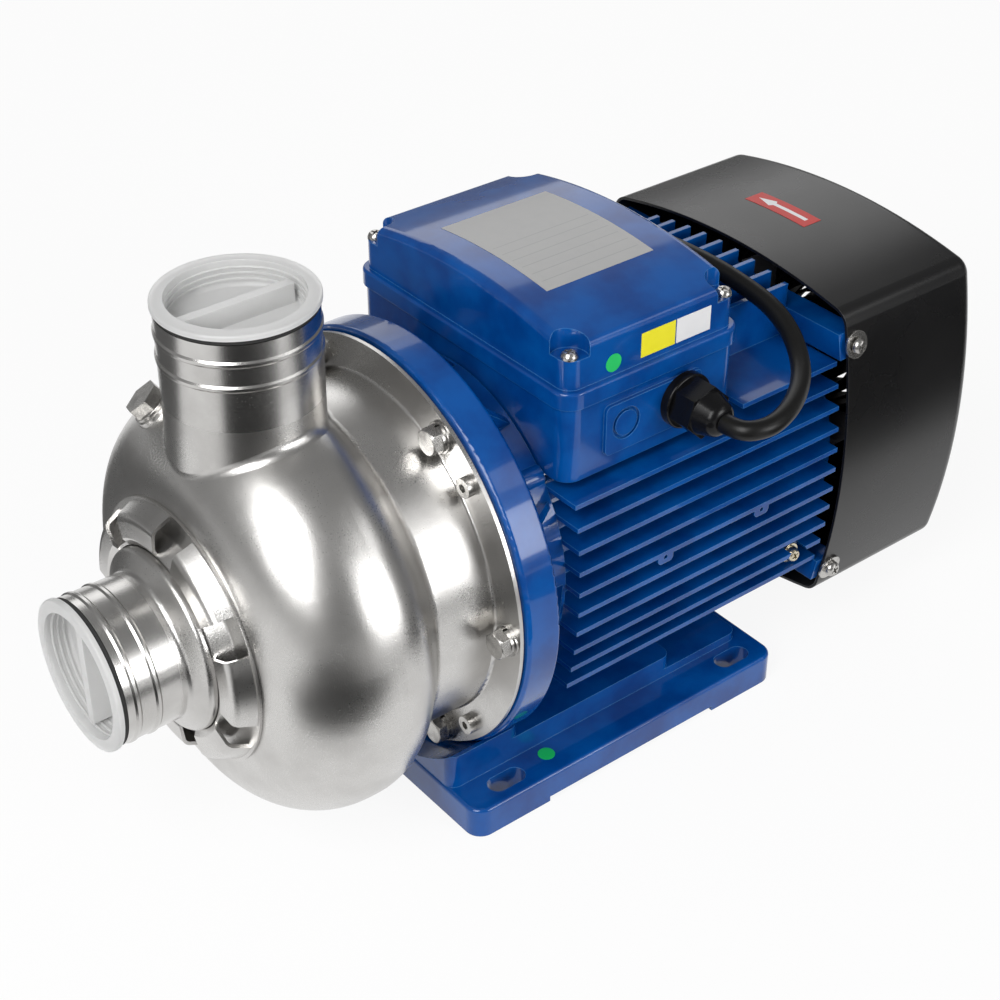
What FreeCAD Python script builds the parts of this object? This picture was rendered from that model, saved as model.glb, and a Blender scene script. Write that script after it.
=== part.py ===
"""Centrifugal pump with a pressed steel casing, close coupled to a finned electric motor on a cast base.

The shaft lies along X, the suction port faces -X and the discharge port faces +Z. The origin is the middle
of the four foot slots, on the ground. Most pieces are drawn in the pump's own frame, whose zero is where the
discharge axis crosses the shaft axis, and their Placement carries them to the ground frame.
"""
import FreeCAD, Part
import math
import os

import Sketcher

Vector = FreeCAD.Vector

# Driving sizes in millimetres and degrees: alias, value, meaning.
# Names that end in _at are distances along the shaft, measured from the discharge axis towards the motor.
SIZES = (
    ("shaft_height", 123.4, "shaft axis above the ground"),
    ("port_axis_at", -162.6, "discharge axis from the middle of the foot slots"),
    # pressed casing
    ("sheet_wall", 2.0, "wall of the pressed casing"),
    ("bowl_radius", 110.5, "widest radius of the casing bowl"),
    ("bowl_front_at", -43.0, "flat front face of the bowl"),
    ("bowl_front_round", 46.0, "front shoulder round of the bowl"),
    ("bowl_edge_at", 21.0, "where the rear shoulder of the bowl starts to fall"),
    ("bowl_rear_round", 30.0, "rear shoulder round of the bowl"),
    ("valley_at", 38.0, "foot of the rear shoulder"),
    ("drum_radius", 91.5, "casing drum behind the bowl"),
    ("drum_round", 6.0, "round where the drum meets the bowl"),
    ("flange_root_round", 1.5, "round where the drum meets the flange"),
    ("flange_radius", 109.8, "casing flange"),
    ("flange_at", 72.4, "front face of the casing flange"),
    ("collar_radius", 46.5, "suction collar pressed out of the bowl"),
    ("collar_at", -56.5, "front edge of the suction collar"),
    ("collar_round", 3.0, "rounds of the suction collar"),
    ("suction_neck_at", -66.0, "end of the suction neck"),
    ("neck_radius", 37.0, "outside of both port necks and sleeves"),
    ("neck_height", 116.6, "end of the discharge neck above the shaft axis"),
    ("neck_round", 5.5, "round where the discharge neck grows out of the bowl"),
    # port sleeves
    ("sleeve_wall", 2.5, "wall of the port sleeves"),
    ("suction_sleeve_length", 28.0, "length of the suction sleeve"),
    ("discharge_sleeve_length", 43.6, "length of the discharge sleeve"),
    ("bead_rise", 0.7, "height of the rolled beads on the sleeves"),
    ("bead_width", 3.4, "width of the rolled beads on the sleeves"),
    ("suction_bead_first", 5.4, "first bead of the suction sleeve from its mouth"),
    ("suction_bead_second", 15.9, "second bead of the suction sleeve from its mouth"),
    ("discharge_bead_first", 9.7, "first bead of the discharge sleeve from its mouth"),
    ("discharge_bead_second", 21.8, "second bead of the discharge sleeve from its mouth"),
    # transport plugs
    ("plug_flange_radius", 38.0, "flange of the port plugs"),
    ("plug_flange", 2.7, "thickness of the plug flange"),
    ("plug_wall", 2.6, "wall of the plug cup"),
    ("plug_depth", 13.0, "depth of the plug cup under its flange"),
    ("plug_bar", 5.4, "width of the grip bar across the plug"),
    ("plug_bar_reach", 28.5, "half length of the grip bar"),
    ("plug_bar_drop", 3.4, "grip bar below the flange"),
    ("ring_section", 2.5, "thickness of the port sealing rings"),
    ("plug_bar_turn", 90.0, "turn of the grip bars about their ports"),
    ("plug_gap", 0.3, "clearance between a plug and its sleeve"),
    # suction stiffener
    ("stiffener_radius", 67.7, "outer radius of the pressed stiffener"),
    ("stiffener_wall", 1.5, "sheet of the stiffener"),
    ("stiffener_lip_radius", 47.0, "inner edge of the stiffener, round the suction collar"),
    ("stiffener_lip_rise", 10.0, "inner edge of the stiffener in front of the bowl"),
    ("stiffener_foot_radius", 54.5, "where the stiffener comes down on the bowl"),
    ("lobe_rise", 11.2, "height of the stiffener lobes"),
    ("lobe_inner", 50.5, "inner shoulder of the lobes"),
    ("lobe_outer", 61.5, "outer shoulder of the lobes"),
    ("lobe_foot", 66.0, "outer foot of the lobes"),
    ("lobe_round", 5.0, "outer shoulder round of the lobes"),
    ("lobe_sweep", 34.0, "angle that each lobe spans"),
    ("lobe_count", 7, "number of stiffener lobes"),
    ("lobe_start", -16.4, "turn of the first lobe from the top, towards -Y"),
    # casing bolts
    ("bolt_circle", 101.2, "radius of the casing bolt circle"),
    ("bolt_count", 6, "number of casing bolts"),
    ("bolt_radius", 4.0, "casing bolt shank"),
    ("bolt_hex", 13.0, "casing bolt head across flats"),
    ("bolt_head", 5.3, "casing bolt head height"),
    ("bolt_length", 20.0, "casing bolt shank length"),
    ("bolt_clearance", 0.4, "radial clearance of bolt holes"),
    ("washer_radius", 8.0, "flat washer of the casing bolts"),
    ("washer_thickness", 1.6, "flat washer thickness"),
    ("spring_washer_radius", 7.0, "spring washer of the casing bolts"),
    ("spring_washer_thickness", 2.0, "spring washer thickness"),
    ("spring_washer_split", 1.6, "gap in the spring washer"),
    ("socket_count", 4, "number of socket screws between the bolts"),
    ("socket_radius", 2.5, "socket screw shank"),
    ("socket_head_radius", 5.0, "socket screw head"),
    ("socket_head", 4.0, "socket screw head height"),
    ("socket_length", 12.0, "socket screw shank length"),
    ("socket_hex", 4.0, "key size of the socket screws"),
    # fill and drain plugs
    ("fill_angle", 26.0, "fill plug away from the top, towards +Y"),
    ("fill_tilt", 33.0, "fill plug leaned forward along the shaft"),
    ("vent_thread_radius", 5.0, "thread of the fill and drain plugs"),
    ("vent_thread_length", 9.0, "length of the plug thread under its washer"),
    ("vent_hex", 17.0, "hex of the fill and drain plugs across flats"),
    ("vent_hex_height", 6.0, "height of the plug hex"),
    ("vent_washer_radius", 10.0, "washer of the fill and drain plugs"),
    ("vent_washer_thickness", 2.0, "washer thickness"),
    ("vent_seat_rise", 1.2, "flat seat proud of the casing under each plug"),
    ("vent_seat_radius", 11.0, "flat seat under each plug"),
    ("vent_seat_depth", 6.0, "threaded seat inside the casing"),
    ("drain_angle", 135.0, "drain plug away from the top, towards +Y"),
    # seal plate and inlet ring
    ("plate_wall", 1.5, "sheet of the seal plate"),
    ("plate_radius", 107.5, "rim of the seal plate"),
    ("plate_cup_radius", 85.0, "cup of the seal plate inside the drum"),
    ("plate_face_at", 46.0, "front face of the seal plate"),
    ("plate_round", 6.0, "round of the seal plate cup"),
    ("inlet_wall", 2.0, "wall of the inlet ring"),
    ("inlet_flange_radius", 62.0, "flange of the inlet ring on the bowl front"),
    ("inlet_mouth_radius", 50.0, "mouth of the inlet ring"),
    ("inlet_overlap", 10.0, "length of the inlet ring round the impeller eye"),
    ("inlet_gap", 0.4, "running gap between the inlet ring and the impeller eye"),
    # impeller
    ("impeller_radius", 78.0, "outer radius of the impeller"),
    ("eye_radius", 36.0, "outside of the impeller eye"),
    ("shroud_wall", 2.0, "sheet of the impeller shrouds"),
    ("eye_at", 2.0, "front of the impeller eye"),
    ("front_shroud_at", 14.0, "front face of the front shroud"),
    ("passage", 11.0, "width of the impeller passage"),
    ("vane_count", 6, "number of impeller vanes"),
    ("vane_thickness", 2.2, "thickness of an impeller vane"),
    ("vane_start_radius", 27.0, "inner end of the vanes"),
    ("vane_round", 62.0, "curvature radius of the vanes"),
    ("vane_centre", 37.3, "centre of the vane curve from the shaft axis"),
    ("impeller_hub_radius", 16.0, "impeller hub"),
    ("impeller_hub_front", 8.0, "front of the impeller hub"),
    ("impeller_hub_tail", 4.0, "impeller hub behind the back shroud"),
    ("nut_hex", 24.0, "impeller nut across flats"),
    ("nut_height", 10.0, "impeller nut height"),
    ("key_width", 5.0, "impeller key width"),
    ("key_height", 2.0, "impeller key above the shaft"),
    ("key_depth", 2.5, "impeller key in the shaft"),
    ("key_length", 12.0, "impeller key length"),
    # shaft seal
    ("seal_film", 0.05, "gap between the two faces of the shaft seal"),
    ("seal_ring_radius", 15.0, "rotating face ring of the shaft seal"),
    ("seal_ring_length", 6.0, "length of the rotating face ring"),
    ("seal_seat_radius", 17.0, "stationary seat of the shaft seal"),
    ("seal_seat_length", 7.0, "length of the stationary seat"),
    ("seal_bore", 10.6, "bore of the stationary seat"),
    ("bellows_radius", 15.0, "crests of the rubber bellows of the shaft seal"),
    ("bellows_rise", 3.0, "roots of the bellows above the shaft"),
    ("bellows_wall", 1.6, "wall of the bellows, measured outwards"),
    # shaft and bearings
    ("shaft_nose_radius", 9.0, "shaft under the impeller and the seal"),
    ("shaft_nose_at", -4.0, "front end of the shaft"),
    ("shaft_radius", 15.0, "shaft through the rotor core"),
    ("shaft_seal_end_at", 58.0, "rear end of the thin shaft nose"),
    ("shaft_end_radius", 8.0, "shaft under the fan"),
    ("shaft_end_at", 350.0, "rear end of the shaft"),
    ("front_bearing_bore", 12.5, "bore radius of the front bearing"),
    ("front_bearing_radius", 26.0, "outside radius of the front bearing"),
    ("front_bearing_width", 15.0, "width of the front bearing"),
    ("front_bearing_at", 105.0, "front face of the front bearing"),
    ("rear_bearing_bore", 10.0, "bore radius of the rear bearing"),
    ("rear_bearing_radius", 23.5, "outside radius of the rear bearing"),
    ("rear_bearing_width", 14.0, "width of the rear bearing"),
    ("rear_bearing_at", 285.0, "front face of the rear bearing"),
    ("race_wall", 0.3, "share of the radial depth that each race takes"),
    ("ball_share", 0.295, "ball radius as a share of the radial depth"),
    ("ball_count", 8, "balls in each bearing"),
    ("ball_gap", 0.05, "clearance between balls and races"),
    ("spring_ring_width", 5.5, "radial width of the wave spring"),
    ("spring_ring_height", 1.5, "wave spring behind the rear bearing"),
    ("slinger_radius", 22.0, "rubber slinger on the shaft"),
    ("slinger_width", 4.0, "width of the slinger"),
    ("slinger_at", 90.0, "front of the slinger"),
    # motor bracket
    ("bracket_radius", 112.15, "rim of the motor bracket"),
    ("bracket_root_radius", 98.0, "bracket cone where it meets the rim"),
    ("bracket_rear_at", 95.25, "rear edge of the bracket rim"),
    ("bracket_web", 6.5, "thickness of the bracket web"),
    ("bracket_web_at", 98.0, "front face of the bracket web"),
    ("bracket_bore", 88.0, "recess in the front of the bracket"),
    ("bracket_neck_radius", 86.0, "bracket where it meets the housing"),
    ("bracket_shoulder_at", 107.0, "where the bracket cone ends"),
    ("bracket_shaft_hole", 19.0, "hole for the shaft in the bracket web"),
    ("bracket_hub_wall", 7.0, "wall of the bearing hub"),
    ("bracket_edge_round", 2.0, "round of the bracket rim edges"),
    ("bracket_spigot_radius", 66.0, "inside of the spigot that centres the housing"),
    ("bracket_spigot", 4.0, "length of the spigot that centres the housing"),
    ("bracket_rib_count", 9, "gussets behind the rim"),
    ("bracket_rib_angle", 2.4, "angle that a gusset takes"),
    ("bracket_rib_pitch", 30.0, "angle from gusset to gusset"),
    ("bracket_rib_radius", 110.0, "outer end of the gussets"),
    ("bracket_rib_end_at", 118.0, "rear end of the gussets"),
    ("tie_boss_radius", 6.0, "tie rod bosses"),
    # motor housing
    ("housing_at", 120.0, "front face of the motor housing"),
    ("housing_length", 178.0, "length of the motor housing"),
    ("housing_radius", 79.0, "housing tube outside its fins"),
    ("housing_wall", 7.0, "wall of the housing tube"),
    ("fin_pitch", 12.3, "pitch of the cooling fins"),
    ("fin_thickness", 2.6, "thickness of a cooling fin"),
    ("fin_count", 11, "fins on each side"),
    ("fin_reach", 96.5, "tip of the middle fin from the shaft axis"),
    ("fin_crown", 256.0, "radius of the curve that the fin tips follow"),
    ("fin_depth_below", 86.0, "reach of the fins under the housing"),
    ("fin_count_above", 9, "fins above and below the housing"),
    ("housing_foot_at", 140.0, "front of the seat under the housing"),
    ("housing_foot_length", 40.0, "length of the seat under the housing"),
    ("housing_foot_half_width", 35.0, "half width of the seat under the housing"),
    ("tab_first_at", 176.6, "first tapped tab on the middle fin"),
    ("tab_second_at", 243.4, "second tapped tab on the middle fin"),
    ("tab_drop", 2.2, "middle of the tabs below the shaft axis"),
    ("tab_width", 10.0, "tabs along the shaft"),
    ("tab_height", 7.0, "height of the tabs"),
    ("tab_hole", 1.2, "hole in the tabs"),
    ("earth_at", 281.0, "earth screw along the shaft"),
    ("earth_drop", 53.0, "earth screw below the shaft axis"),
    ("earth_boss_radius", 5.0, "boss of the earth screw"),
    ("earth_boss_reach", 84.0, "tip of the earth boss from the middle plane"),
    ("earth_head_radius", 4.7, "head of the earth screw"),
    ("earth_head", 5.0, "head height of the earth screw"),
    ("earth_notch", 1.5, "gap in the fins round the earth screw's washer"),
    ("earth_washer_radius", 5.8, "washer of the earth screw"),
    ("earth_washer", 3.0, "washer stack of the earth screw"),
    ("stator_bore", 40.0, "bore of the stator stack"),
    ("stator_length", 100.0, "length of the stator stack"),
    ("stator_at", 155.0, "front of the stator stack"),
    ("air_gap", 0.5, "gap between rotor and stator"),
    ("winding_length", 22.0, "overhang of the end windings"),
    ("winding_inner", 46.0, "inside of the end windings"),
    ("winding_outer", 66.0, "outside of the end windings"),
    ("winding_round", 4.0, "rounds of the end windings"),
    ("cage_ring", 8.0, "end rings of the rotor cage"),
    ("cage_ring_inner", 22.0, "inside of the cage end rings"),
    ("cage_ring_outer", 36.0, "outside of the cage end rings"),
    ("rear_shield_thickness", 7.0, "rear end shield plate"),
    ("rear_shield_radius", 86.0, "rear end shield"),
    ("rear_hub_wall", 6.5, "wall of the rear bearing hub"),
    ("rear_shaft_hole", 10.5, "hole for the shaft in the rear shield"),
    ("tie_rod_radius", 2.5, "tie rods"),
    ("tie_rod_y", 63.2, "tie rods across the shaft"),
    ("tie_rod_drop", 2.2, "tie rods below the middle between their two fins"),
    ("tie_nut_hex", 8.0, "tie rod nut across flats"),
    ("tie_nut_height", 4.0, "tie rod nut height"),
    ("cover_lug_height", 71.0, "fan cover screws above and below the shaft axis"),
    ("cover_lug_half", 7.0, "half height of the lugs for the fan cover"),
    ("cover_lug_root", 30.0, "root of the lugs from the middle plane"),
    ("cover_lug_end_at", 312.5, "rear end of the lugs"),
    ("cover_screw_at", 307.5, "fan cover screws along the shaft"),
    ("cover_screw_radius", 2.5, "shank of the fan cover screws"),
    ("cover_screw_length", 14.0, "fan cover screws inside the cover"),
    ("cover_screw_head_radius", 4.5, "head of the fan cover screws"),
    ("cover_screw_head", 3.2, "head height of the fan cover screws"),
    ("cover_washer_radius", 7.5, "washers of the fan cover"),
    ("cover_washer", 1.2, "washer thickness at the fan cover"),
    # fan and its cover
    ("fan_at", 315.0, "front of the fan"),
    ("fan_length", 27.0, "width of the fan blades"),
    ("fan_radius", 78.0, "tip of the fan blades"),
    ("fan_hub_radius", 17.0, "fan hub"),
    ("fan_blades", 8, "number of fan blades"),
    ("fan_blade", 2.5, "thickness of a fan blade"),
    ("fan_disc", 3.0, "thickness of the fan disc"),
    ("fan_disc_radius", 60.0, "fan disc"),
    ("clip_radius", 11.0, "outside of the fan clip"),
    ("clip_width", 1.2, "width of the fan clip"),
    ("clip_groove", 7.35, "bottom of the clip groove in the shaft"),
    ("cover_at", 302.0, "front edge of the fan cover"),
    ("cover_length", 98.0, "length of the fan cover"),
    ("cover_reach", 98.6, "middle of each side of the fan cover from the shaft axis"),
    ("cover_corner", 88.0, "corner of the fan cover from the shaft axis, both ways"),
    ("cover_corner_round", 11.0, "corner round of the fan cover"),
    ("cover_edge_round", 8.0, "rear edge round of the fan cover"),
    ("cover_wall", 1.6, "sheet of the fan cover"),
    ("vent_ring_first", 20.0, "inner radius of the first ring of air slots"),
    ("vent_ring_step", 11.0, "radial pitch of the air slots"),
    ("vent_ring_width", 5.0, "width of the air slots"),
    ("vent_ring_count", 5, "rings of air slots"),
    ("vent_bridge", 9.0, "width of the four bridges across the air slots"),
    # terminal box
    ("box_at", 120.8, "front wall of the terminal box"),
    ("box_length", 109.8, "terminal box along the shaft"),
    ("box_half_width", 82.4, "half width of the terminal box"),
    ("box_foot", 56.0, "lower edge of the terminal box above the shaft axis"),
    ("box_joint", 96.0, "joint between box and cover above the shaft axis"),
    ("box_wall", 4.0, "wall of the terminal box"),
    ("box_round", 9.0, "corner round of the terminal box"),
    ("box_floor", 84.0, "floor of the terminal box over the housing"),
    ("box_well_floor", 66.0, "floor of the side wells of the terminal box"),
    ("box_well_inner", 52.0, "inner side of the side wells"),
    ("box_post", 19.0, "legs of the corner posts in box and cover"),
    ("gasket", 1.0, "gasket under the cover"),
    ("lid_inset", 1.5, "sides of the terminal cover inside the box walls"),
    ("lid_side", 31.5, "straight sides of the terminal cover"),
    ("lid_crown", 10.2, "crown of the terminal cover above its sides"),
    ("lid_rim", 1.8, "rim of the terminal cover proud of the box walls"),
    ("lid_rim_height", 9.0, "height of the rim of the terminal cover"),
    ("lid_rim_round", 1.5, "round on top of the rim"),
    ("lid_shell", 3.5, "wall of the terminal cover"),
    ("lid_top_round", 4.5, "round between the sides and the crown"),
    ("lid_roof", 4.5, "roof of the terminal cover under its side edges"),
    ("screw_inset", 6.4, "cover screws from the box walls"),
    ("screw_notch", 9.5, "radius of the notches over the cover screws"),
    ("screw_notch_floor", 24.5, "floor of the notches above the gasket"),
    ("lid_screw_radius", 2.5, "shank of the cover screws"),
    ("lid_screw_length", 38.0, "shank length of the cover screws"),
    ("lid_screw_head", 4.2, "head radius of the cover screws"),
    ("lid_screw_rise", 3.2, "head height of the cover screws"),
    ("panel_from_front", 23.3, "raised panel from the front wall of the box"),
    ("panel_length", 60.7, "length of the raised panel"),
    ("panel_low", 64.4, "lower edge of the raised panel above the shaft axis"),
    ("panel_high", 91.5, "upper edge of the raised panel above the shaft axis"),
    ("panel_rise", 2.0, "raised panel proud of the wall"),
    ("panel_round", 3.0, "corner round of the raised panel"),
    ("knockout_radius", 8.5, "ring groove of the blank cable entry"),
    ("knockout_blank", 6.8, "blank inside the ring groove"),
    ("knockout_depth", 1.5, "depth of the ring groove"),
    ("knockout_from_front", 36.0, "blank cable entry from the front wall of the box"),
    ("block_length", 46.0, "terminal block along the shaft"),
    ("block_width", 24.0, "terminal block across the shaft"),
    ("block_height", 12.0, "terminal block height"),
    ("stud_radius", 2.0, "terminal studs"),
    ("stud_rise", 8.0, "terminal studs above their block"),
    ("stud_pitch", 14.0, "terminal studs apart"),
    ("capacitor_radius", 12.0, "capacitor"),
    ("capacitor_length", 70.0, "capacitor length"),
    ("capacitor_y", 65.0, "capacitor from the middle plane"),
    # cable gland
    ("gland_from_front", 72.2, "gland axis from the front wall of the box"),
    ("gland_height", 79.0, "gland axis above the shaft axis"),
    ("gland_thread", 12.0, "length of the gland thread through the wall"),
    ("gland_seat_radius", 9.0, "thread under the gland nut"),
    ("gland_bore", 6.0, "bore of the gland body"),
    ("gland_thread_radius", 10.0, "thread of the gland in the box wall"),
    ("gland_collar_radius", 14.5, "collar of the gland body"),
    ("gland_collar", 5.0, "length of the gland collar"),
    ("gland_hex", 24.0, "hex of the gland nut across flats"),
    ("gland_hex_length", 13.0, "length of the gland nut hex"),
    ("gland_nose", 11.0, "length of the rounded nose of the gland nut"),
    ("gland_nose_radius", 8.0, "end of the gland nose"),
    ("cable_radius", 5.0, "power cable"),
    ("coil_radius", 55.0, "middle of the cable coil"),
    ("coil_layers", 2.0, "turns of the coil on top of each other"),
    ("coil_at", 200.0, "middle of the cable coil along the shaft"),
    ("coil_y", 192.0, "middle of the cable coil from the middle plane"),
    ("plug_lead", 2.0, "mains plug behind the middle of the coil"),
    ("mains_body_radius", 19.0, "body of the mains plug"),
    ("mains_body", 34.0, "length of the mains plug body"),
    ("mains_relief", 26.0, "length of the strain relief of the mains plug"),
    ("mains_relief_radius", 8.5, "strain relief where it meets the plug body"),
    ("mains_pin_radius", 2.4, "pins of the mains plug"),
    ("mains_pin", 19.0, "length of the pins"),
    ("mains_pin_gauge", 19.0, "pins of the mains plug apart"),
    ("mains_gap", 1.3, "axis of the mains plug from the outside of the coil"),
    # base
    ("foot_front_at", 55.5, "front edge of the base"),
    ("foot_rear_at", 264.0, "rear edge of the base"),
    ("foot_half_width", 98.0, "half width of the base"),
    ("foot_plate", 17.5, "thickness of the base plate"),
    ("foot_corner", 9.0, "corner round of the base plate"),
    ("foot_edge_round", 2.0, "edge round of the base plate"),
    ("foot_relief", 3.0, "relief under the middle of the base"),
    ("foot_relief_at", 103.0, "front of the relief under the base"),
    ("foot_relief_length", 114.0, "length of the relief under the base"),
    ("rail_half_width", 75.5, "half width of the pedestal"),
    ("rail_round", 6.0, "corner round of the pedestal"),
    ("rail_front_at", 56.5, "front of the pedestal"),
    ("rail_front_top", 38.0, "top of the front pad above the ground"),
    ("rail_front_end", 101.0, "rear end of the front pad"),
    ("rail_middle_top", 31.0, "top of the middle of the pedestal"),
    ("rail_middle_end", 206.0, "rear end of the middle of the pedestal"),
    ("rail_rear_top", 22.5, "top of the rear pad"),
    ("rail_rear_end", 256.0, "rear end of the rear pad"),
    ("slot_spacing", 158.0, "foot slots along the shaft"),
    ("slot_gauge", 172.0, "foot slots across the shaft"),
    ("slot_radius", 5.5, "half width of the foot slots"),
    ("slot_length", 22.0, "length of the foot slots, end to end"),
    ("saddle_gap", 0.3, "clearance of the saddle round the bracket rim"),
    ("foot_screw_radius", 4.0, "shank of the screws that hold the base"),
    ("foot_screw_length", 20.0, "shank length of the base screws"),
    ("foot_screw_head_radius", 6.5, "head of the base screws"),
    ("foot_screw_head", 5.0, "head height of the base screws"),
    ("foot_screw_front_at", 85.6, "front base screws along the shaft"),
    ("foot_screw_front_y", 35.0, "front base screws from the middle plane"),
    ("foot_screw_front_seat", 8.0, "seat of the front base screws above the ground"),
    ("foot_screw_rear_at", 160.0, "rear base screws along the shaft"),
    ("foot_screw_rear_y", 20.0, "rear base screws from the middle plane"),
    ("foot_screw_rear_seat", 20.0, "seat of the rear base screws above the ground"),
    ("rest_gap", 0.3, "clearance between parts that only lie close"),
    ("run_gap", 0.04, "radial clearance of running and locating fits"),
)

VALUES = {alias: float(value) for alias, value, _ in SIZES}


class Size:
    """A size that knows both its number and the sheet expression that the number comes from."""

    def __init__(self, number, text):
        self.number = number
        self.text = text

    def __float__(self):
        return float(self.number)

    def __add__(self, other):
        other = as_size(other)
        return Size(self.number + other.number, f"({self.text} + {other.text})")

    def __sub__(self, other):
        other = as_size(other)
        return Size(self.number - other.number, f"({self.text} - {other.text})")

    def __mul__(self, other):
        other = as_size(other)
        return Size(self.number * other.number, f"({self.text} * {other.text})")

    def __truediv__(self, other):
        other = as_size(other)
        return Size(self.number / other.number, f"({self.text} / {other.text})")

    def __neg__(self):
        return Size(-self.number, f"(0 - {self.text})")

    def __radd__(self, other):
        return as_size(other) + self

    def __rsub__(self, other):
        return as_size(other) - self

    def __rmul__(self, other):
        return as_size(other) * self


def as_size(value):
    """Wrap a plain number as a Size."""
    return value if isinstance(value, Size) else Size(float(value), repr(float(value)))


class SizeSheet:
    """The driving sizes, read as attributes: sizes.bowl_radius."""

    def __init__(self, document):
        self.sheet = document.addObject("Spreadsheet::Sheet", "Sizes")
        for row, (alias, value, meaning) in enumerate(SIZES, start=1):
            self.sheet.set(f"A{row}", alias)
            self.sheet.set(f"B{row}", str(value))
            self.sheet.set(f"C{row}", meaning)
            self.sheet.setAlias(f"B{row}", alias)

    def __getattr__(self, alias):
        return Size(VALUES[alias], f"Sizes.{alias}")


doc = FreeCAD.newDocument("CentrifugalPump")
sizes = SizeSheet(doc)
doc.recompute()
SUBPARTS = []
HEX_TURN = 15.0
SEAM_BELOW = 180.0


def number(value):
    """The plain number behind a Size."""
    return float(value)


def bind(target, prop, value):
    """Tie a property to the sheet."""
    target.setExpression(prop, as_size(value).text)


def place(piece, x=0.0, y=0.0, z=0.0, turn=None):
    """Carry a piece from the pump's frame to the ground frame, plus an offset and a turn of its own."""
    if turn is not None:
        piece.Placement = FreeCAD.Placement(Vector(), turn)
    bind(piece, "Placement.Base.x", sizes.port_axis_at + x)
    bind(piece, "Placement.Base.y", y)
    bind(piece, "Placement.Base.z", sizes.shaft_height + z)


def keep(piece):
    """List a finished object as a sub-part of the pump."""
    SUBPARTS.append(piece)
    return piece


def new_body(label):
    body = doc.addObject("PartDesign::Body", label)
    body.Label = label
    body.AllowCompound = True
    return body


def origin_plane(body, role):
    return next(part for part in body.Origin.OriginFeatures if part.Role == role)


def new_sketch(body, role, offset=None, turn=None):
    """A sketch on an origin plane of its body, moved off the plane and turned about the shaft axis."""
    sketch = body.newObject("Sketcher::SketchObject", f"{body.Label}_sketch")
    sketch.AttachmentSupport = (origin_plane(body, role), [""])
    sketch.MapMode = "FlatFace"
    if turn is not None:
        sketch.AttachmentOffset = FreeCAD.Placement(Vector(), FreeCAD.Rotation(Vector(1, 0, 0), number(turn)))
    if offset is not None:
        bind(sketch, "AttachmentOffset.Base.z", offset)
    return sketch


def free_sketch(body, base, direction):
    """A sketch at a free place (x, y, z) of its body, with its normal along a direction."""
    sketch = body.newObject("Sketcher::SketchObject", f"{body.Label}_sketch")
    sketch.Placement = FreeCAD.Placement(Vector(), FreeCAD.Rotation(Vector(0, 0, 1), direction))
    for axis, value in zip("xyz", base):
        bind(sketch, f"Placement.Base.{axis}", value)
    return sketch


def tie(sketch, kind, value, *places):
    """Add a dimension to a sketch and bind it to the sheet."""
    index = sketch.addConstraint(Sketcher.Constraint(kind, *places, number(value)))
    if isinstance(value, Size):
        sketch.setExpression(f"Constraints[{index}]", value.text)


def tie_point(sketch, value, axis, geometry, end):
    """Fix one coordinate of a point against the sketch origin."""
    if not isinstance(value, Size) and number(value) == 0.0:
        line = -2 if axis == "DistanceX" else -1
        sketch.addConstraint(Sketcher.Constraint("PointOnObject", geometry, end, line))
    else:
        tie(sketch, axis, value, -1, 1, geometry, end)


def rounded_outline(sketch, corners):
    """Closed outline through corners (x, y) or (x, y, round), each coordinate a size of the sheet."""
    points = [Vector(number(corner[0]), number(corner[1]), 0) for corner in corners]
    rounds = [corner[2] if len(corner) > 2 else None for corner in corners]
    count = len(points)
    entry, leave = [], []
    arcs = {}
    for index, point in enumerate(points):
        if rounds[index] is None:
            entry.append(point)
            leave.append(point)
            continue
        back = (points[index - 1] - point).normalize()
        ahead = (points[(index + 1) % count] - point).normalize()
        radius = number(rounds[index])
        half = back.getAngle(ahead) / 2
        reach = radius / math.tan(half)
        entry.append(point + back * reach)
        leave.append(point + ahead * reach)
        middle = point + (back + ahead).normalize() * (radius / math.sin(half))
        arcs[index] = (middle, radius)
    lines = []
    for index in range(count):
        lines.append(sketch.addGeometry(Part.LineSegment(leave[index], entry[(index + 1) % count]), False))
    for index, corner in enumerate(corners):
        before, after = lines[index - 1], lines[index]
        if index not in arcs:
            sketch.addConstraint(Sketcher.Constraint("Coincident", before, 2, after, 1))
            tie_point(sketch, corner[0], "DistanceX", after, 1)
            tie_point(sketch, corner[1], "DistanceY", after, 1)
            continue
        middle, radius = arcs[index]
        first, last = entry[index] - middle, leave[index] - middle
        counter = first.cross(last).z > 0
        start, end = (first, last) if counter else (last, first)
        circle = Part.Circle(middle, Vector(0, 0, 1), radius)
        arc = Part.ArcOfCircle(circle, math.atan2(start.y, start.x), math.atan2(end.y, end.x))
        arc_id = sketch.addGeometry(arc, False)
        into, out = (1, 2) if counter else (2, 1)
        corner_id = sketch.addGeometry(Part.Point(points[index]), True)
        sketch.addConstraint(Sketcher.Constraint("PointOnObject", corner_id, 1, before))
        sketch.addConstraint(Sketcher.Constraint("PointOnObject", corner_id, 1, after))
        tie_point(sketch, corner[0], "DistanceX", corner_id, 1)
        tie_point(sketch, corner[1], "DistanceY", corner_id, 1)
        sketch.addConstraint(Sketcher.Constraint("Tangent", before, 2, arc_id, into))
        sketch.addConstraint(Sketcher.Constraint("Tangent", arc_id, out, after, 1))
        tie(sketch, "Radius", rounds[index], arc_id)


def rectangle(sketch, low_x, low_y, high_x, high_y, corner=None):
    """Rectangle between two corners, with rounded corners if a round is given."""
    tail = () if corner is None else (corner,)
    places = ((low_x, low_y), (high_x, low_y), (high_x, high_y), (low_x, high_y))
    rounded_outline(sketch, [place_xy + tail for place_xy in places])


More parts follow.
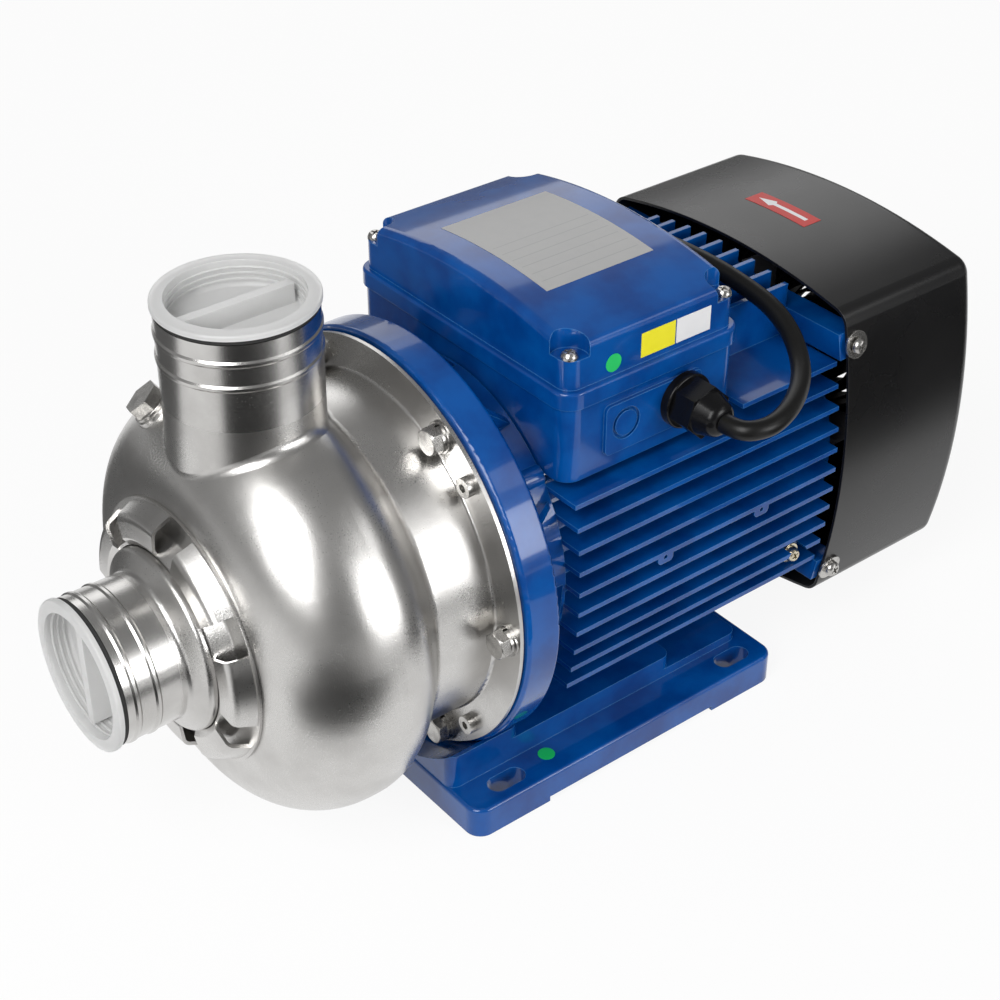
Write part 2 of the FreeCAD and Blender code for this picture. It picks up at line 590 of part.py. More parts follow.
def circles(sketch, places, radius):
    """Equal circles at places (x, y) in a sketch."""
    for x, y in places:
        circle = Part.Circle(Vector(number(x), number(y), 0), Vector(0, 0, 1), number(radius))
        index = sketch.addGeometry(circle, False)
        tie_point(sketch, x, "DistanceX", index, 3)
        tie_point(sketch, y, "DistanceY", index, 3)
        tie(sketch, "Radius", radius, index)


def spaced(radius, count, start=0.0):
    """Places (x, y) evenly spaced on a circle, counted from an angle to the sketch's x axis."""
    places = []
    for index in range(int(number(count))):
        angle = math.radians(start + 360.0 * index / number(count))
        parts = (math.cos(angle), math.sin(angle))
        places.append(tuple(0.0 if abs(part) < 1e-9 else radius * part for part in parts))
    return places


def hexagons(sketch, places, flats):
    """Equal hexagons at places (x, y), by their size across flats."""
    corner = flats / math.sqrt(3.0)
    for x, y in places:
        rounded_outline(sketch, [(x + across, y + up) for across, up in spaced(corner, 6, HEX_TURN)])


def revolve(body, corners, kind="Revolution", angle=360.0, turn=None):
    """Turn an outline drawn as (x along the shaft, radius) about the body's X axis."""
    sketch = new_sketch(body, "XZ_Plane", turn=turn)
    rounded_outline(sketch, corners)
    return spin(body, sketch, kind, angle)


def spin(body, sketch, kind="Revolution", angle=360.0):
    """Turn a finished sketch about the body's X axis."""
    feature = body.newObject(f"PartDesign::{kind}", f"{body.Label}_{kind.lower()}")
    feature.Profile = sketch
    feature.ReferenceAxis = (sketch, ["H_Axis"])
    bind(feature, "Angle", angle)
    feature.Midplane = number(angle) < 360.0
    return feature


def turned(label, corners):
    """A sub-part turned about the shaft."""
    body = new_body(label)
    revolve(body, corners)
    place(body)
    return keep(body)


def pad(body, sketch, length, kind="Pad", midplane=False, reverse=False):
    """Raise a sketch along its normal; a Pocket cuts against the normal unless reversed."""
    feature = body.newObject(f"PartDesign::{kind}", f"{body.Label}_{kind.lower()}")
    feature.Profile = sketch
    bind(feature, "Length", length)
    feature.Midplane = midplane
    feature.Reversed = reverse
    return feature


def rods(body, start, length, places, radius):
    """Round rods along the shaft at places (y, z)."""
    sketch = new_sketch(body, "YZ_Plane", start)
    circles(sketch, places, radius)
    return pad(body, sketch, length)


def drill(body, start, length, places, radius):
    """Round holes along the shaft at places (y, z), cut rearwards from a start."""
    sketch = new_sketch(body, "YZ_Plane", start)
    circles(sketch, places, radius)
    return pad(body, sketch, length, kind="Pocket", reverse=True)


def hex_heads(body, start, length, places, flats):
    """Hex heads along the shaft at places (y, z)."""
    sketch = new_sketch(body, "YZ_Plane", start)
    hexagons(sketch, places, flats)
    return pad(body, sketch, length)


def polar(body, feature, count, angle=360.0):
    """Repeat a feature about the body's X axis."""
    pattern = body.newObject("PartDesign::PolarPattern", f"{body.Label}_polar")
    pattern.Originals = [feature]
    pattern.Axis = (origin_plane(body, "X_Axis"), [""])
    bind(pattern, "Angle", angle)
    bind(pattern, "Occurrences", count)
    body.Tip = pattern
    return pattern


def round_edges(body, feature, radius, wanted):
    """Round the edges of a feature that a test picks out by their middle."""
    doc.recompute()
    names = []
    for index, edge in enumerate(feature.Shape.Edges, start=1):
        middle = edge.valueAt((edge.FirstParameter + edge.LastParameter) / 2)
        if wanted(edge, middle):
            names.append(f"Edge{index}")
    if not names:
        raise ValueError(f"{body.Label} has no edge to round")
    fillet = body.newObject("PartDesign::Fillet", f"{body.Label}_fillet")
    fillet.Base = (feature, names)
    bind(fillet, "Radius", radius)
    return fillet


def mirrored(y, z):
    """The four places (+-y, +-z) round the shaft."""
    return [(y, z), (-y, z), (-y, -z), (y, -z)]


def shoulder_seat(angle):
    """Where a plug sits on the front shoulder of the bowl: its place, and its direction out of the casing."""
    s = sizes
    around, lean = math.radians(number(angle)), math.radians(number(s.fill_tilt))
    out = s.bowl_radius - s.bowl_front_round + s.bowl_front_round * math.cos(lean)
    along = s.bowl_front_at + s.bowl_front_round - s.bowl_front_round * math.sin(lean)
    direction = Vector(-math.sin(lean), math.cos(lean) * math.sin(around), math.cos(lean) * math.cos(around))
    return (along, out * math.sin(around), out * math.cos(around)), direction


def moved(base, direction, distance):
    """A place moved along a direction."""
    return tuple(start + distance * part for start, part in zip(base, direction))


def make_casing():
    """The pressed casing: bowl, drum and flange turned in one, with the discharge neck drawn out of it."""
    s = sizes
    wall = s.sheet_wall
    rear = s.flange_at + wall
    body = new_body("pump_casing")
    revolve(body, [
        (s.suction_neck_at, 0.0),
        (s.suction_neck_at, s.neck_radius),
        (s.collar_at - 5.5, s.neck_radius, s.collar_round),
        (s.collar_at, s.collar_radius, s.collar_round),
        (s.bowl_front_at, s.collar_radius, s.collar_round),
        (s.bowl_front_at, s.bowl_radius, s.bowl_front_round),
        (s.bowl_edge_at, s.bowl_radius, s.bowl_rear_round),
        (s.valley_at, s.drum_radius, s.drum_round),
        (s.flange_at, s.drum_radius, s.flange_root_round),
        (s.flange_at, s.flange_radius),
        (rear, s.flange_radius),
        (rear, 0.0),
    ], turn=SEAM_BELOW)
    neck_sketch = new_sketch(body, "XY_Plane")
    circles(neck_sketch, [(0.0, 0.0)], s.neck_radius)
    neck = pad(body, neck_sketch, s.neck_height)

    def neck_foot(edge, middle):
        near = math.hypot(middle.x, middle.y) < number(s.neck_radius) + 0.5
        low = number(s.neck_radius) < middle.z < number(s.neck_height) - 1.0
        return near and low and not isinstance(edge.Curve, Part.Line)
    round_edges(body, neck, s.neck_round, neck_foot)
    revolve(body, [
        (s.suction_neck_at - 1.0, 0.0),
        (s.suction_neck_at - 1.0, s.neck_radius - wall),
        (s.collar_at - 4.5, s.neck_radius - wall, s.collar_round),
        (s.collar_at + wall, s.collar_radius - wall, s.collar_round - 1.5),
        (s.bowl_front_at + wall, s.collar_radius - wall, s.collar_round + wall),
        (s.bowl_front_at + wall, s.bowl_radius - wall, s.bowl_front_round - wall),
        (s.bowl_edge_at - 0.5, s.bowl_radius - wall, s.bowl_rear_round - wall),
        (s.valley_at - 0.5, s.drum_radius - wall, s.drum_round),
        (rear + 1.0, s.drum_radius - wall),
        (rear + 1.0, 0.0),
    ], kind="Groove", turn=SEAM_BELOW)
    bore_sketch = new_sketch(body, "XY_Plane")
    circles(bore_sketch, [(0.0, 0.0)], s.neck_radius - wall)
    pad(body, bore_sketch, s.neck_height + 1.0, kind="Pocket", reverse=True)
    for angle in (s.fill_angle, s.drain_angle):
        base, direction = shoulder_seat(angle)
        seat = free_sketch(body, moved(base, direction, s.vent_seat_rise), direction)
        circles(seat, [(0.0, 0.0)], s.vent_seat_radius)
        pad(body, seat, s.vent_seat_rise + s.vent_seat_depth, reverse=True)
        hole = free_sketch(body, moved(base, direction, s.vent_seat_rise), direction)
        circles(hole, [(0.0, 0.0)], s.vent_thread_radius + s.run_gap)
        pad(body, hole, s.vent_seat_rise + s.vent_seat_depth + 1.0, kind="Pocket")
    flange_cut = 2 * wall
    drill(body, s.flange_at - 1.0, flange_cut, bolt_places(), s.bolt_radius + s.bolt_clearance)
    drill(body, s.flange_at - 1.0, flange_cut, socket_places(), s.socket_radius + s.bolt_clearance)
    place(body)
    return keep(body)


def bolt_places():
    """The hex bolts of the casing flange."""
    return spaced(sizes.bolt_circle, sizes.bolt_count)


def socket_places():
    """The socket screws between the hex bolts."""
    return spaced(sizes.bolt_circle, sizes.socket_count, 180.0 / number(sizes.socket_count))


def make_vent_plug(name, angle):
    """A hex plug on the bowl's shoulder and the washer under it, both drawn along X and turned to their seat."""
    s = sizes
    base, direction = shoulder_seat(angle)
    seat = moved(base, direction, s.vent_seat_rise)
    turn = FreeCAD.Rotation(Vector(1, 0, 0), direction)
    washer = new_body(f"{name}_washer")
    revolve(washer, [
        (0.0, s.vent_thread_radius + s.run_gap),
        (0.0, s.vent_washer_radius),
        (s.vent_washer_thickness, s.vent_washer_radius, 0.5),
        (s.vent_washer_thickness, s.vent_thread_radius + s.run_gap),
    ])
    place(washer, *seat, turn=turn)
    keep(washer)
    plug = new_body(name)
    hex_heads(plug, s.vent_washer_thickness, s.vent_hex_height, [(0.0, 0.0)], s.vent_hex)
    revolve(plug, [
        (-s.vent_thread_length, 0.0),
        (-s.vent_thread_length, s.vent_thread_radius, 1.0),
        (s.vent_washer_thickness + 1.0, s.vent_thread_radius),
        (s.vent_washer_thickness + 1.0, 0.0),
    ])
    place(plug, *seat, turn=turn)
    return keep(plug)


def make_port(port, length, beads, base, turn):
    """A port sleeve, its transport plug and the ring between them, drawn along X from the end of the neck."""
    s = sizes
    outer = s.neck_radius
    inner = outer - s.sleeve_wall
    foot, crest = s.bead_width / 2, s.bead_width / 5
    corners = [(0.0, inner), (0.0, outer)]
    for bead in sorted((length - place_from_mouth for place_from_mouth in beads), key=number):
        corners += [(bead - foot, outer), (bead - crest, outer + s.bead_rise)]
        corners += [(bead + crest, outer + s.bead_rise), (bead + foot, outer)]
    corners += [(length, outer), (length, inner)]
    sleeve = new_body(f"{port}_sleeve")
    revolve(sleeve, corners)
    place(sleeve, *base, turn=turn)
    keep(sleeve)

    cup = inner - s.plug_gap
    flange_at = length + s.ring_section
    ring = new_body(f"{port}_plug_ring")
    revolve(ring, [
        (length, cup + s.run_gap),
        (length, outer, 0.8),
        (flange_at, outer, 0.8),
        (flange_at, cup + s.run_gap),
    ])
    place(ring, *base, turn=turn)
    keep(ring)

    face = flange_at + s.plug_flange
    floor = flange_at - s.plug_depth
    plug = new_body(f"{port}_plug")
    revolve(plug, [
        (face, cup - s.plug_wall),
        (face, s.plug_flange_radius, 1.0),
        (flange_at, s.plug_flange_radius),
        (flange_at, cup),
        (floor, cup, 1.0),
        (floor, 0.0),
        (floor + s.plug_wall, 0.0),
        (floor + s.plug_wall, cup - s.plug_wall, 2.0),
    ])
    bar = new_sketch(plug, "YZ_Plane", floor + s.plug_wall / 2)
    rectangle(bar, -s.plug_bar_reach, -s.plug_bar / 2, s.plug_bar_reach, s.plug_bar / 2)
    pad(plug, bar, s.plug_depth + s.plug_flange - s.plug_bar_drop - s.plug_wall / 2)
    place(plug, *base, turn=turn)
    return keep(plug)


def make_ports():
    """Both ports, the suction one facing forwards and the discharge one facing up."""
    s = sizes
    bar_turn = FreeCAD.Rotation(Vector(1, 0, 0), number(s.plug_bar_turn))
    forwards = FreeCAD.Rotation(Vector(0, 0, 1), 180) * bar_turn
    upwards = FreeCAD.Rotation(Vector(0, 1, 0), -90) * bar_turn
    make_port("suction", s.suction_sleeve_length, (s.suction_bead_first, s.suction_bead_second),
              (s.suction_neck_at, 0.0, 0.0), forwards)
    make_port("discharge", s.discharge_sleeve_length, (s.discharge_bead_first, s.discharge_bead_second),
              (0.0, 0.0, s.neck_height), upwards)


def make_stiffener():
    """The pressed ring that stiffens the bowl round the suction collar, with its raised lobes."""
    s = sizes
    front = s.bowl_front_at
    wall = s.stiffener_wall
    lip = front - s.stiffener_lip_rise
    body = new_body("stiffener_ring")
    revolve(body, [
        (lip, s.stiffener_lip_radius),
        (lip, s.stiffener_lip_radius + wall),
        (front - wall, s.stiffener_foot_radius, 2.0),
        (front - wall, s.stiffener_radius),
        (front, s.stiffener_radius),
        (front, s.stiffener_foot_radius - 1.0, 2.0),
    ])
    top = front - s.lobe_rise
    lobe = revolve(body, [
        (lip, s.stiffener_lip_radius),
        (top - 0.8, s.lobe_inner, 1.5),
        (top, s.lobe_outer, s.lobe_round),
        (front - wall, s.lobe_foot),
        (front, s.lobe_foot),
        (front, s.lobe_foot - wall),
        (top + wall, s.lobe_outer - wall * 0.8, s.lobe_round - wall),
        (top + wall - 0.6, s.lobe_inner + 0.8),
        (lip + 0.8, s.stiffener_lip_radius + wall),
    ], angle=s.lobe_sweep, turn=s.lobe_start)
    polar(body, lobe, s.lobe_count)
    place(body)
    return keep(body)


def make_casing_fasteners():
    """Hex bolts with spring and flat washers, and the socket screws between them."""
    s = sizes
    flat_at = s.flange_at - s.washer_thickness
    spring_at = flat_at - s.spring_washer_thickness
    bolts = new_body("casing_bolts")
    rods(bolts, spring_at - 1.0, s.bolt_length + 1.0, bolt_places(), s.bolt_radius)
    hex_heads(bolts, spring_at - s.bolt_head, s.bolt_head, bolt_places(), s.bolt_hex)
    place(bolts)
    keep(bolts)

    washers = new_body("casing_washers")
    rods(washers, flat_at, s.washer_thickness, bolt_places(), s.washer_radius)
    rods(washers, spring_at, s.spring_washer_thickness, bolt_places(), s.spring_washer_radius)
    drill(washers, spring_at - 1.0, s.washer_thickness + s.spring_washer_thickness + 2.0,
          bolt_places(), s.bolt_radius + s.run_gap)
    split = new_sketch(washers, "YZ_Plane", spring_at - 1.0)
    for y, z in bolt_places():
        rectangle(split, y - s.spring_washer_split / 2, z + s.bolt_radius / 2,
                  y + s.spring_washer_split / 2, z + s.spring_washer_radius + 1.0)
    pad(washers, split, s.spring_washer_thickness + 1.0, kind="Pocket", reverse=True)
    place(washers)
    keep(washers)

    screws = new_body("casing_socket_screws")
    rods(screws, s.flange_at - s.socket_head, s.socket_head, socket_places(), s.socket_head_radius)
    rods(screws, s.flange_at - 1.0, s.socket_length + 1.0, socket_places(), s.socket_radius)
    socket = new_sketch(screws, "YZ_Plane", s.flange_at - s.socket_head)
    hexagons(socket, socket_places(), s.socket_hex)
    pad(screws, socket, s.socket_head * 0.6, kind="Pocket", reverse=True)
    place(screws)
    return keep(screws)


def make_seal_plate():
    """The cup behind the impeller, clamped between casing and bracket, with a seat for the shaft seal."""
    s = sizes
    wall = s.plate_wall
    rim = s.flange_at + s.sheet_wall
    seat = s.seal_seat_radius + s.run_gap
    bottom = s.plate_face_at + s.seal_seat_length
    body = new_body("seal_plate")
    revolve(body, [
        (rim, s.plate_radius),
        (rim, s.plate_cup_radius, 1.0),
        (s.plate_face_at, s.plate_cup_radius, s.plate_round),
        (s.plate_face_at, seat),
        (bottom, seat),
        (bottom, s.seal_bore + 2.4),
        (bottom + wall, s.seal_bore + 2.4),
        (bottom + wall, seat + wall),
        (s.plate_face_at + wall, seat + wall),
        (s.plate_face_at + wall, s.plate_cup_radius - wall, s.plate_round - wall),
        (rim + wall, s.plate_cup_radius - wall, 1.0 + wall),
        (rim + wall, s.plate_radius),
    ])
    drill(body, rim - 1.0, 2 * wall, bolt_places(), s.bolt_radius + s.bolt_clearance)
    drill(body, rim - 1.0, 2 * wall, socket_places(), s.socket_radius + s.bolt_clearance)
    place(body)
    return keep(body)


def make_wet_rings():
    """The large casing seal ring and the inlet ring that leads the water into the impeller eye."""
    s = sizes
    rim = s.flange_at + s.sheet_wall
    inside = s.drum_radius - s.sheet_wall
    gap = (inside - s.plate_cup_radius) * 0.08
    width = inside - s.plate_cup_radius - 2 * gap
    turned("casing_seal_ring", [
        (rim - width, s.plate_cup_radius + gap, 1.2),
        (rim - width, inside - gap, 1.2),
        (rim, inside - gap, 1.2),
        (rim, s.plate_cup_radius + gap, 1.2),
    ])
    front = s.bowl_front_at + s.sheet_wall
    bore = s.eye_radius + s.inlet_gap
    wall = s.inlet_wall
    turned("inlet_ring", [
        (front, s.inlet_mouth_radius),
        (front, s.inlet_flange_radius),
        (front + wall, s.inlet_flange_radius),
        (front + wall, s.inlet_mouth_radius + 2.5, 2.0),
        (s.eye_at - 2.0, bore + wall, 3.0),
        (s.eye_at + s.inlet_overlap, bore + wall),
        (s.eye_at + s.inlet_overlap, bore),
        (s.eye_at - 2.5, bore, 3.0),
    ])


def vane_outline(sketch):
    """One backward curved vane: two arcs about one centre, cut by circles at the vane's ends."""
    s = sizes
    centre = number(s.vane_centre)
    rings = []
    for limit in (s.vane_start_radius, s.impeller_radius):
        circle = Part.Circle(Vector(), Vector(0, 0, 1), number(limit))
        ring = sketch.addGeometry(circle, True)
        sketch.addConstraint(Sketcher.Constraint("Coincident", ring, 3, -1, 1))
        tie(sketch, "Radius", limit, ring)
        rings.append((ring, number(limit)))
    arcs, ends = [], []
    for curve in (s.vane_round - s.vane_thickness / 2, s.vane_round + s.vane_thickness / 2):
        radius = number(curve)
        angles = []
        for ring, limit in rings:
            cosine = (limit ** 2 - centre ** 2 - radius ** 2) / (2 * centre * radius)
            angles.append(-math.acos(cosine))
        circle = Part.Circle(Vector(centre, 0, 0), Vector(0, 0, 1), radius)
        low, high = sorted(angles)
        arc = sketch.addGeometry(Part.ArcOfCircle(circle, low, high), False)
        order = (1, 2) if angles[0] == low else (2, 1)
        tie_point(sketch, s.vane_centre, "DistanceX", arc, 3)
        sketch.addConstraint(Sketcher.Constraint("PointOnObject", arc, 3, -1))
        tie(sketch, "Radius", curve, arc)
        for (ring, limit), end in zip(rings, order):
            sketch.addConstraint(Sketcher.Constraint("PointOnObject", arc, end, ring))
        arcs.append(arc)
        ends.append(order)
    for side in (0, 1):
        first = sketch.getPoint(arcs[0], ends[0][side])
        last = sketch.getPoint(arcs[1], ends[1][side])
        line = sketch.addGeometry(Part.LineSegment(first, last), False)
        sketch.addConstraint(Sketcher.Constraint("Coincident", line, 1, arcs[0], ends[0][side]))
        sketch.addConstraint(Sketcher.Constraint("Coincident", line, 2, arcs[1], ends[1][side]))


def make_impeller():
    """Closed impeller: hub with back shroud, curved vanes, front shroud with the eye ring."""
    s = sizes
    wall = s.shroud_wall
    bore = s.shaft_nose_radius + s.run_gap
    back = s.front_shroud_at + wall + s.passage
    tail = back + wall + s.impeller_hub_tail
    body = new_body("impeller")
    revolve(body, [
        (s.impeller_hub_front, bore),
        (s.impeller_hub_front, s.impeller_hub_radius, 2.0),
        (back, s.impeller_hub_radius, 4.0),
        (back, s.impeller_radius),
        (back + wall, s.impeller_radius),
        (back + wall, s.impeller_hub_radius),
        (tail, s.impeller_hub_radius),
        (tail, bore),
    ])
    sketch = new_sketch(body, "YZ_Plane", s.front_shroud_at + wall / 2)
    vane_outline(sketch)
    vane = pad(body, sketch, s.passage + wall)
    polar(body, vane, s.vane_count)
    revolve(body, [
        (s.eye_at, s.eye_radius - wall),
        (s.eye_at, s.eye_radius),
        (s.front_shroud_at, s.eye_radius, 2.0),
        (s.front_shroud_at, s.impeller_radius),
        (s.front_shroud_at + wall, s.impeller_radius),
        (s.front_shroud_at + wall, s.eye_radius - wall, 3.0),
    ])
    key_slot = new_sketch(body, "XY_Plane")
    half = s.key_width / 2 + s.run_gap
    rectangle(key_slot, key_at() - s.run_gap, -half, key_at() + s.key_length + s.run_gap, half)
    pad(body, key_slot, s.shaft_nose_radius + s.key_height + s.run_gap, kind="Pocket", reverse=True)
    place(body)
    keep(body)

    nut = new_body("impeller_nut")
    nut_at = s.impeller_hub_front - s.nut_height
    hex_heads(nut, nut_at, s.nut_height, [(0.0, 0.0)], s.nut_hex)
    drill(nut, nut_at - 1.0, s.nut_height + 2.0, [(0.0, 0.0)], bore)
    place(nut)
    keep(nut)

    key = new_body("impeller_key")
    sketch = new_sketch(key, "XY_Plane", s.shaft_nose_radius - s.key_depth)
    half = s.key_width / 2
    rectangle(sketch, key_at(), -half, key_at() + s.key_length, half)
    pad(key, sketch, s.key_depth + s.key_height)
    place(key)
    return keep(key)


def key_at():
    """Front end of the impeller key."""
    return sizes.impeller_hub_front + 2.0


def make_shaft_seal():
    """Stationary seat, rotating face ring, its rubber bellows and the rubber slinger."""
    s = sizes
    bore = s.shaft_nose_radius + s.run_gap
    turned("seal_seat", [
        (s.plate_face_at, s.seal_bore),
        (s.plate_face_at, s.seal_seat_radius),
        (s.plate_face_at + s.seal_seat_length, s.seal_seat_radius),
        (s.plate_face_at + s.seal_seat_length, s.seal_bore),
    ])
    face = s.plate_face_at - s.seal_film
    turned("seal_face_ring", [
        (face - s.seal_ring_length, bore),
        (face - s.seal_ring_length, s.seal_ring_radius, 0.8),
        (face - 1.0, s.seal_ring_radius),
        (face, s.seal_ring_radius - 1.0),
        (face, bore),
    ])
    start = s.front_shroud_at + 2 * s.shroud_wall + s.passage + s.impeller_hub_tail
    fold = (face - s.seal_ring_length - start) / 4
    low, high = bore + s.bellows_rise, s.bellows_radius
    wall = s.bellows_wall
    outside = [(start + fold * float(step), high if step % 2 else low) for step in range(5)]
    inside = [(along, radius - wall) for along, radius in reversed(outside)]
    turned("seal_bellows", outside + inside)
    turned("slinger", [
        (s.slinger_at, s.front_bearing_bore + s.run_gap),
        (s.slinger_at, s.slinger_radius, 1.0),
        (s.slinger_at + s.slinger_width, s.slinger_radius, 1.0),
        (s.slinger_at + s.slinger_width, s.front_bearing_bore + s.run_gap),
    ])


def make_shaft():
    """The stepped shaft with its impeller keyway and the groove of the fan clip."""
    s = sizes
    shoulder = s.front_bearing_at + s.front_bearing_width
    rear = s.rear_bearing_at + s.rear_bearing_width
    clip = s.fan_at + s.fan_length
    body = new_body("shaft")
    revolve(body, [
        (s.shaft_nose_at, 0.0),
        (s.shaft_nose_at, s.shaft_nose_radius, 1.0),
        (s.shaft_seal_end_at, s.shaft_nose_radius),
        (s.shaft_seal_end_at, s.front_bearing_bore),
        (shoulder, s.front_bearing_bore),
        (shoulder, s.shaft_radius),
        (s.rear_bearing_at, s.shaft_radius),
        (s.rear_bearing_at, s.rear_bearing_bore),
        (rear, s.rear_bearing_bore),
        (rear, s.shaft_end_radius),
        (clip, s.shaft_end_radius),
        (clip, s.clip_groove),
        (clip + s.clip_width + 2 * s.run_gap, s.clip_groove),
        (clip + s.clip_width + 2 * s.run_gap, s.shaft_end_radius),
        (s.shaft_end_at, s.shaft_end_radius, 1.0),
        (s.shaft_end_at, 0.0),
    ])
    sketch = new_sketch(body, "XY_Plane", s.shaft_nose_radius - s.key_depth - s.run_gap)
    half = s.key_width / 2 + s.run_gap
    rectangle(sketch, key_at() - s.run_gap, -half, key_at() + s.key_length + s.run_gap, half)
    pad(body, sketch, s.shaft_nose_radius, kind="Pocket", reverse=True)
    place(body)
    return keep(body)


def make_bearing(name, at, bore, radius, width):
    """A deep groove ball bearing: inner ring, outer ring and balls, with round tracks."""
    s = sizes
    depth = radius - bore
    race = depth * s.race_wall
    ball = depth * s.ball_share
    track = (at + width / 2, (radius + bore) / 2)
    rings = (("inner", bore + s.run_gap, bore + race), ("outer", radius - race, radius))
    for side, low, high in rings:
        body = new_body(f"{name}_{side}")
        revolve(body, [(at, low), (at, high), (at + width, high), (at + width, low)])
        sketch = new_sketch(body, "XZ_Plane")
        circles(sketch, [track], ball + s.ball_gap)
        spin(body, sketch, kind="Groove")
        place(body)
        keep(body)
    balls = new_body(f"{name}_balls")
    sphere = balls.newObject("PartDesign::AdditiveSphere", f"{name}_ball")
    bind(sphere, "Radius", ball)
    bind(sphere, "Placement.Base.x", track[0])
    bind(sphere, "Placement.Base.z", track[1])
    polar(balls, sphere, s.ball_count)
    place(balls)
    return keep(balls)


def make_bearings():
    """Front and rear bearings and the wave spring that preloads the rear one."""
    s = sizes
    make_bearing("front_bearing", s.front_bearing_at, s.front_bearing_bore, s.front_bearing_radius,
                 s.front_bearing_width)
    make_bearing("rear_bearing", s.rear_bearing_at, s.rear_bearing_bore, s.rear_bearing_radius,
                 s.rear_bearing_width)
    end = s.rear_bearing_at + s.rear_bearing_width
    inside = s.rear_bearing_radius - s.spring_ring_width
    turned("wave_spring", [
        (end, inside),
        (end, s.rear_bearing_radius),
        (end + s.spring_ring_height, s.rear_bearing_radius),
        (end + s.spring_ring_height, inside),
    ])


def tie_rod_places():
    """The four tie rods between the cooling fins."""
    s = sizes
    return mirrored(s.tie_rod_y, s.fin_pitch * (s.fin_count_above / 2) - s.tie_rod_drop)


def make_bracket():
    """The cast bracket: rim, cone, web, bearing hub, gussets, tie rod bosses and threaded holes."""
    s = sizes
    hub_end = s.front_bearing_at + s.front_bearing_width
    seat = s.front_bearing_radius + s.run_gap
    spigot = s.housing_radius - s.housing_wall - s.run_gap
    front = s.flange_at + s.sheet_wall + s.plate_wall
    body = new_body("motor_bracket")
    revolve(body, [
        (front, s.bracket_bore),
        (front, s.bracket_radius, s.bracket_edge_round),
        (s.bracket_rear_at, s.bracket_radius, s.bracket_edge_round),
        (s.bracket_rear_at, s.bracket_root_radius),
        (s.bracket_shoulder_at, s.bracket_neck_radius),
        (s.housing_at, s.bracket_neck_radius),
        (s.housing_at, spigot),
        (s.housing_at + s.bracket_spigot, spigot),
        (s.housing_at + s.bracket_spigot, s.bracket_spigot_radius),
        (s.bracket_web_at + s.bracket_web, s.bracket_spigot_radius, 4.0),
        (s.bracket_web_at + s.bracket_web, seat + s.bracket_hub_wall, 4.0),
        (hub_end, seat + s.bracket_hub_wall),
        (hub_end, seat),
        (s.front_bearing_at, seat),
        (s.front_bearing_at, s.bracket_shaft_hole),
        (s.bracket_web_at, s.bracket_shaft_hole),
        (s.bracket_web_at, s.bracket_bore),
    ])
    steps = number(s.bracket_rib_count) - 1
    gusset = revolve(body, [
        (s.bracket_rear_at - 1.0, s.bracket_neck_radius),
        (s.bracket_rear_at - 1.0, s.bracket_rib_radius),
        (s.bracket_rear_at, s.bracket_rib_radius),
        (s.bracket_rib_end_at, s.bracket_neck_radius + 0.5),
        (s.bracket_rib_end_at, s.bracket_neck_radius - 1.0),
    ], angle=s.bracket_rib_angle, turn=-s.bracket_rib_pitch * (steps / 2))
    polar(body, gusset, s.bracket_rib_count, angle=s.bracket_rib_pitch * steps)
    rods(body, s.bracket_shoulder_at, s.housing_at - s.bracket_shoulder_at, tie_rod_places(), s.tie_boss_radius)
    drill(body, s.bracket_shoulder_at + 1.0, s.housing_at - s.bracket_shoulder_at, tie_rod_places(),
          s.tie_rod_radius + s.run_gap)
    drill(body, front - 1.0, s.bolt_length, bolt_places(), s.bolt_radius + s.run_gap)
    drill(body, front - 1.0, s.socket_length, socket_places(), s.socket_radius + s.run_gap)
    screw_cut(body, foot_screw_places()[:2], s.foot_screw_front_seat + s.foot_screw_length + 0.5,
              s.foot_screw_radius + s.run_gap)
    place(body)
    return keep(body)


def foot_screw_places():
    """The four screws (x, y) that hold the base from below, the front pair first."""
    s = sizes
    pairs = ((s.foot_screw_front_at, s.foot_screw_front_y), (s.foot_screw_rear_at, s.foot_screw_rear_y))
    return [(x, side) for x, y in pairs for side in (y, -y)]


def screw_cut(body, places, height, radius):
    """Upright holes (x, y) from the ground up to a height above it."""
    sketch = new_sketch(body, "XY_Plane", -sizes.shaft_height)
    circles(sketch, places, radius)
    return pad(body, sketch, height, kind="Pocket", reverse=True)


def fin_tip(offset):
    """How far a fin reaches from the middle plane, by its distance from the middle fin."""
    return sizes.fin_reach - offset * offset / (2 * sizes.fin_crown)


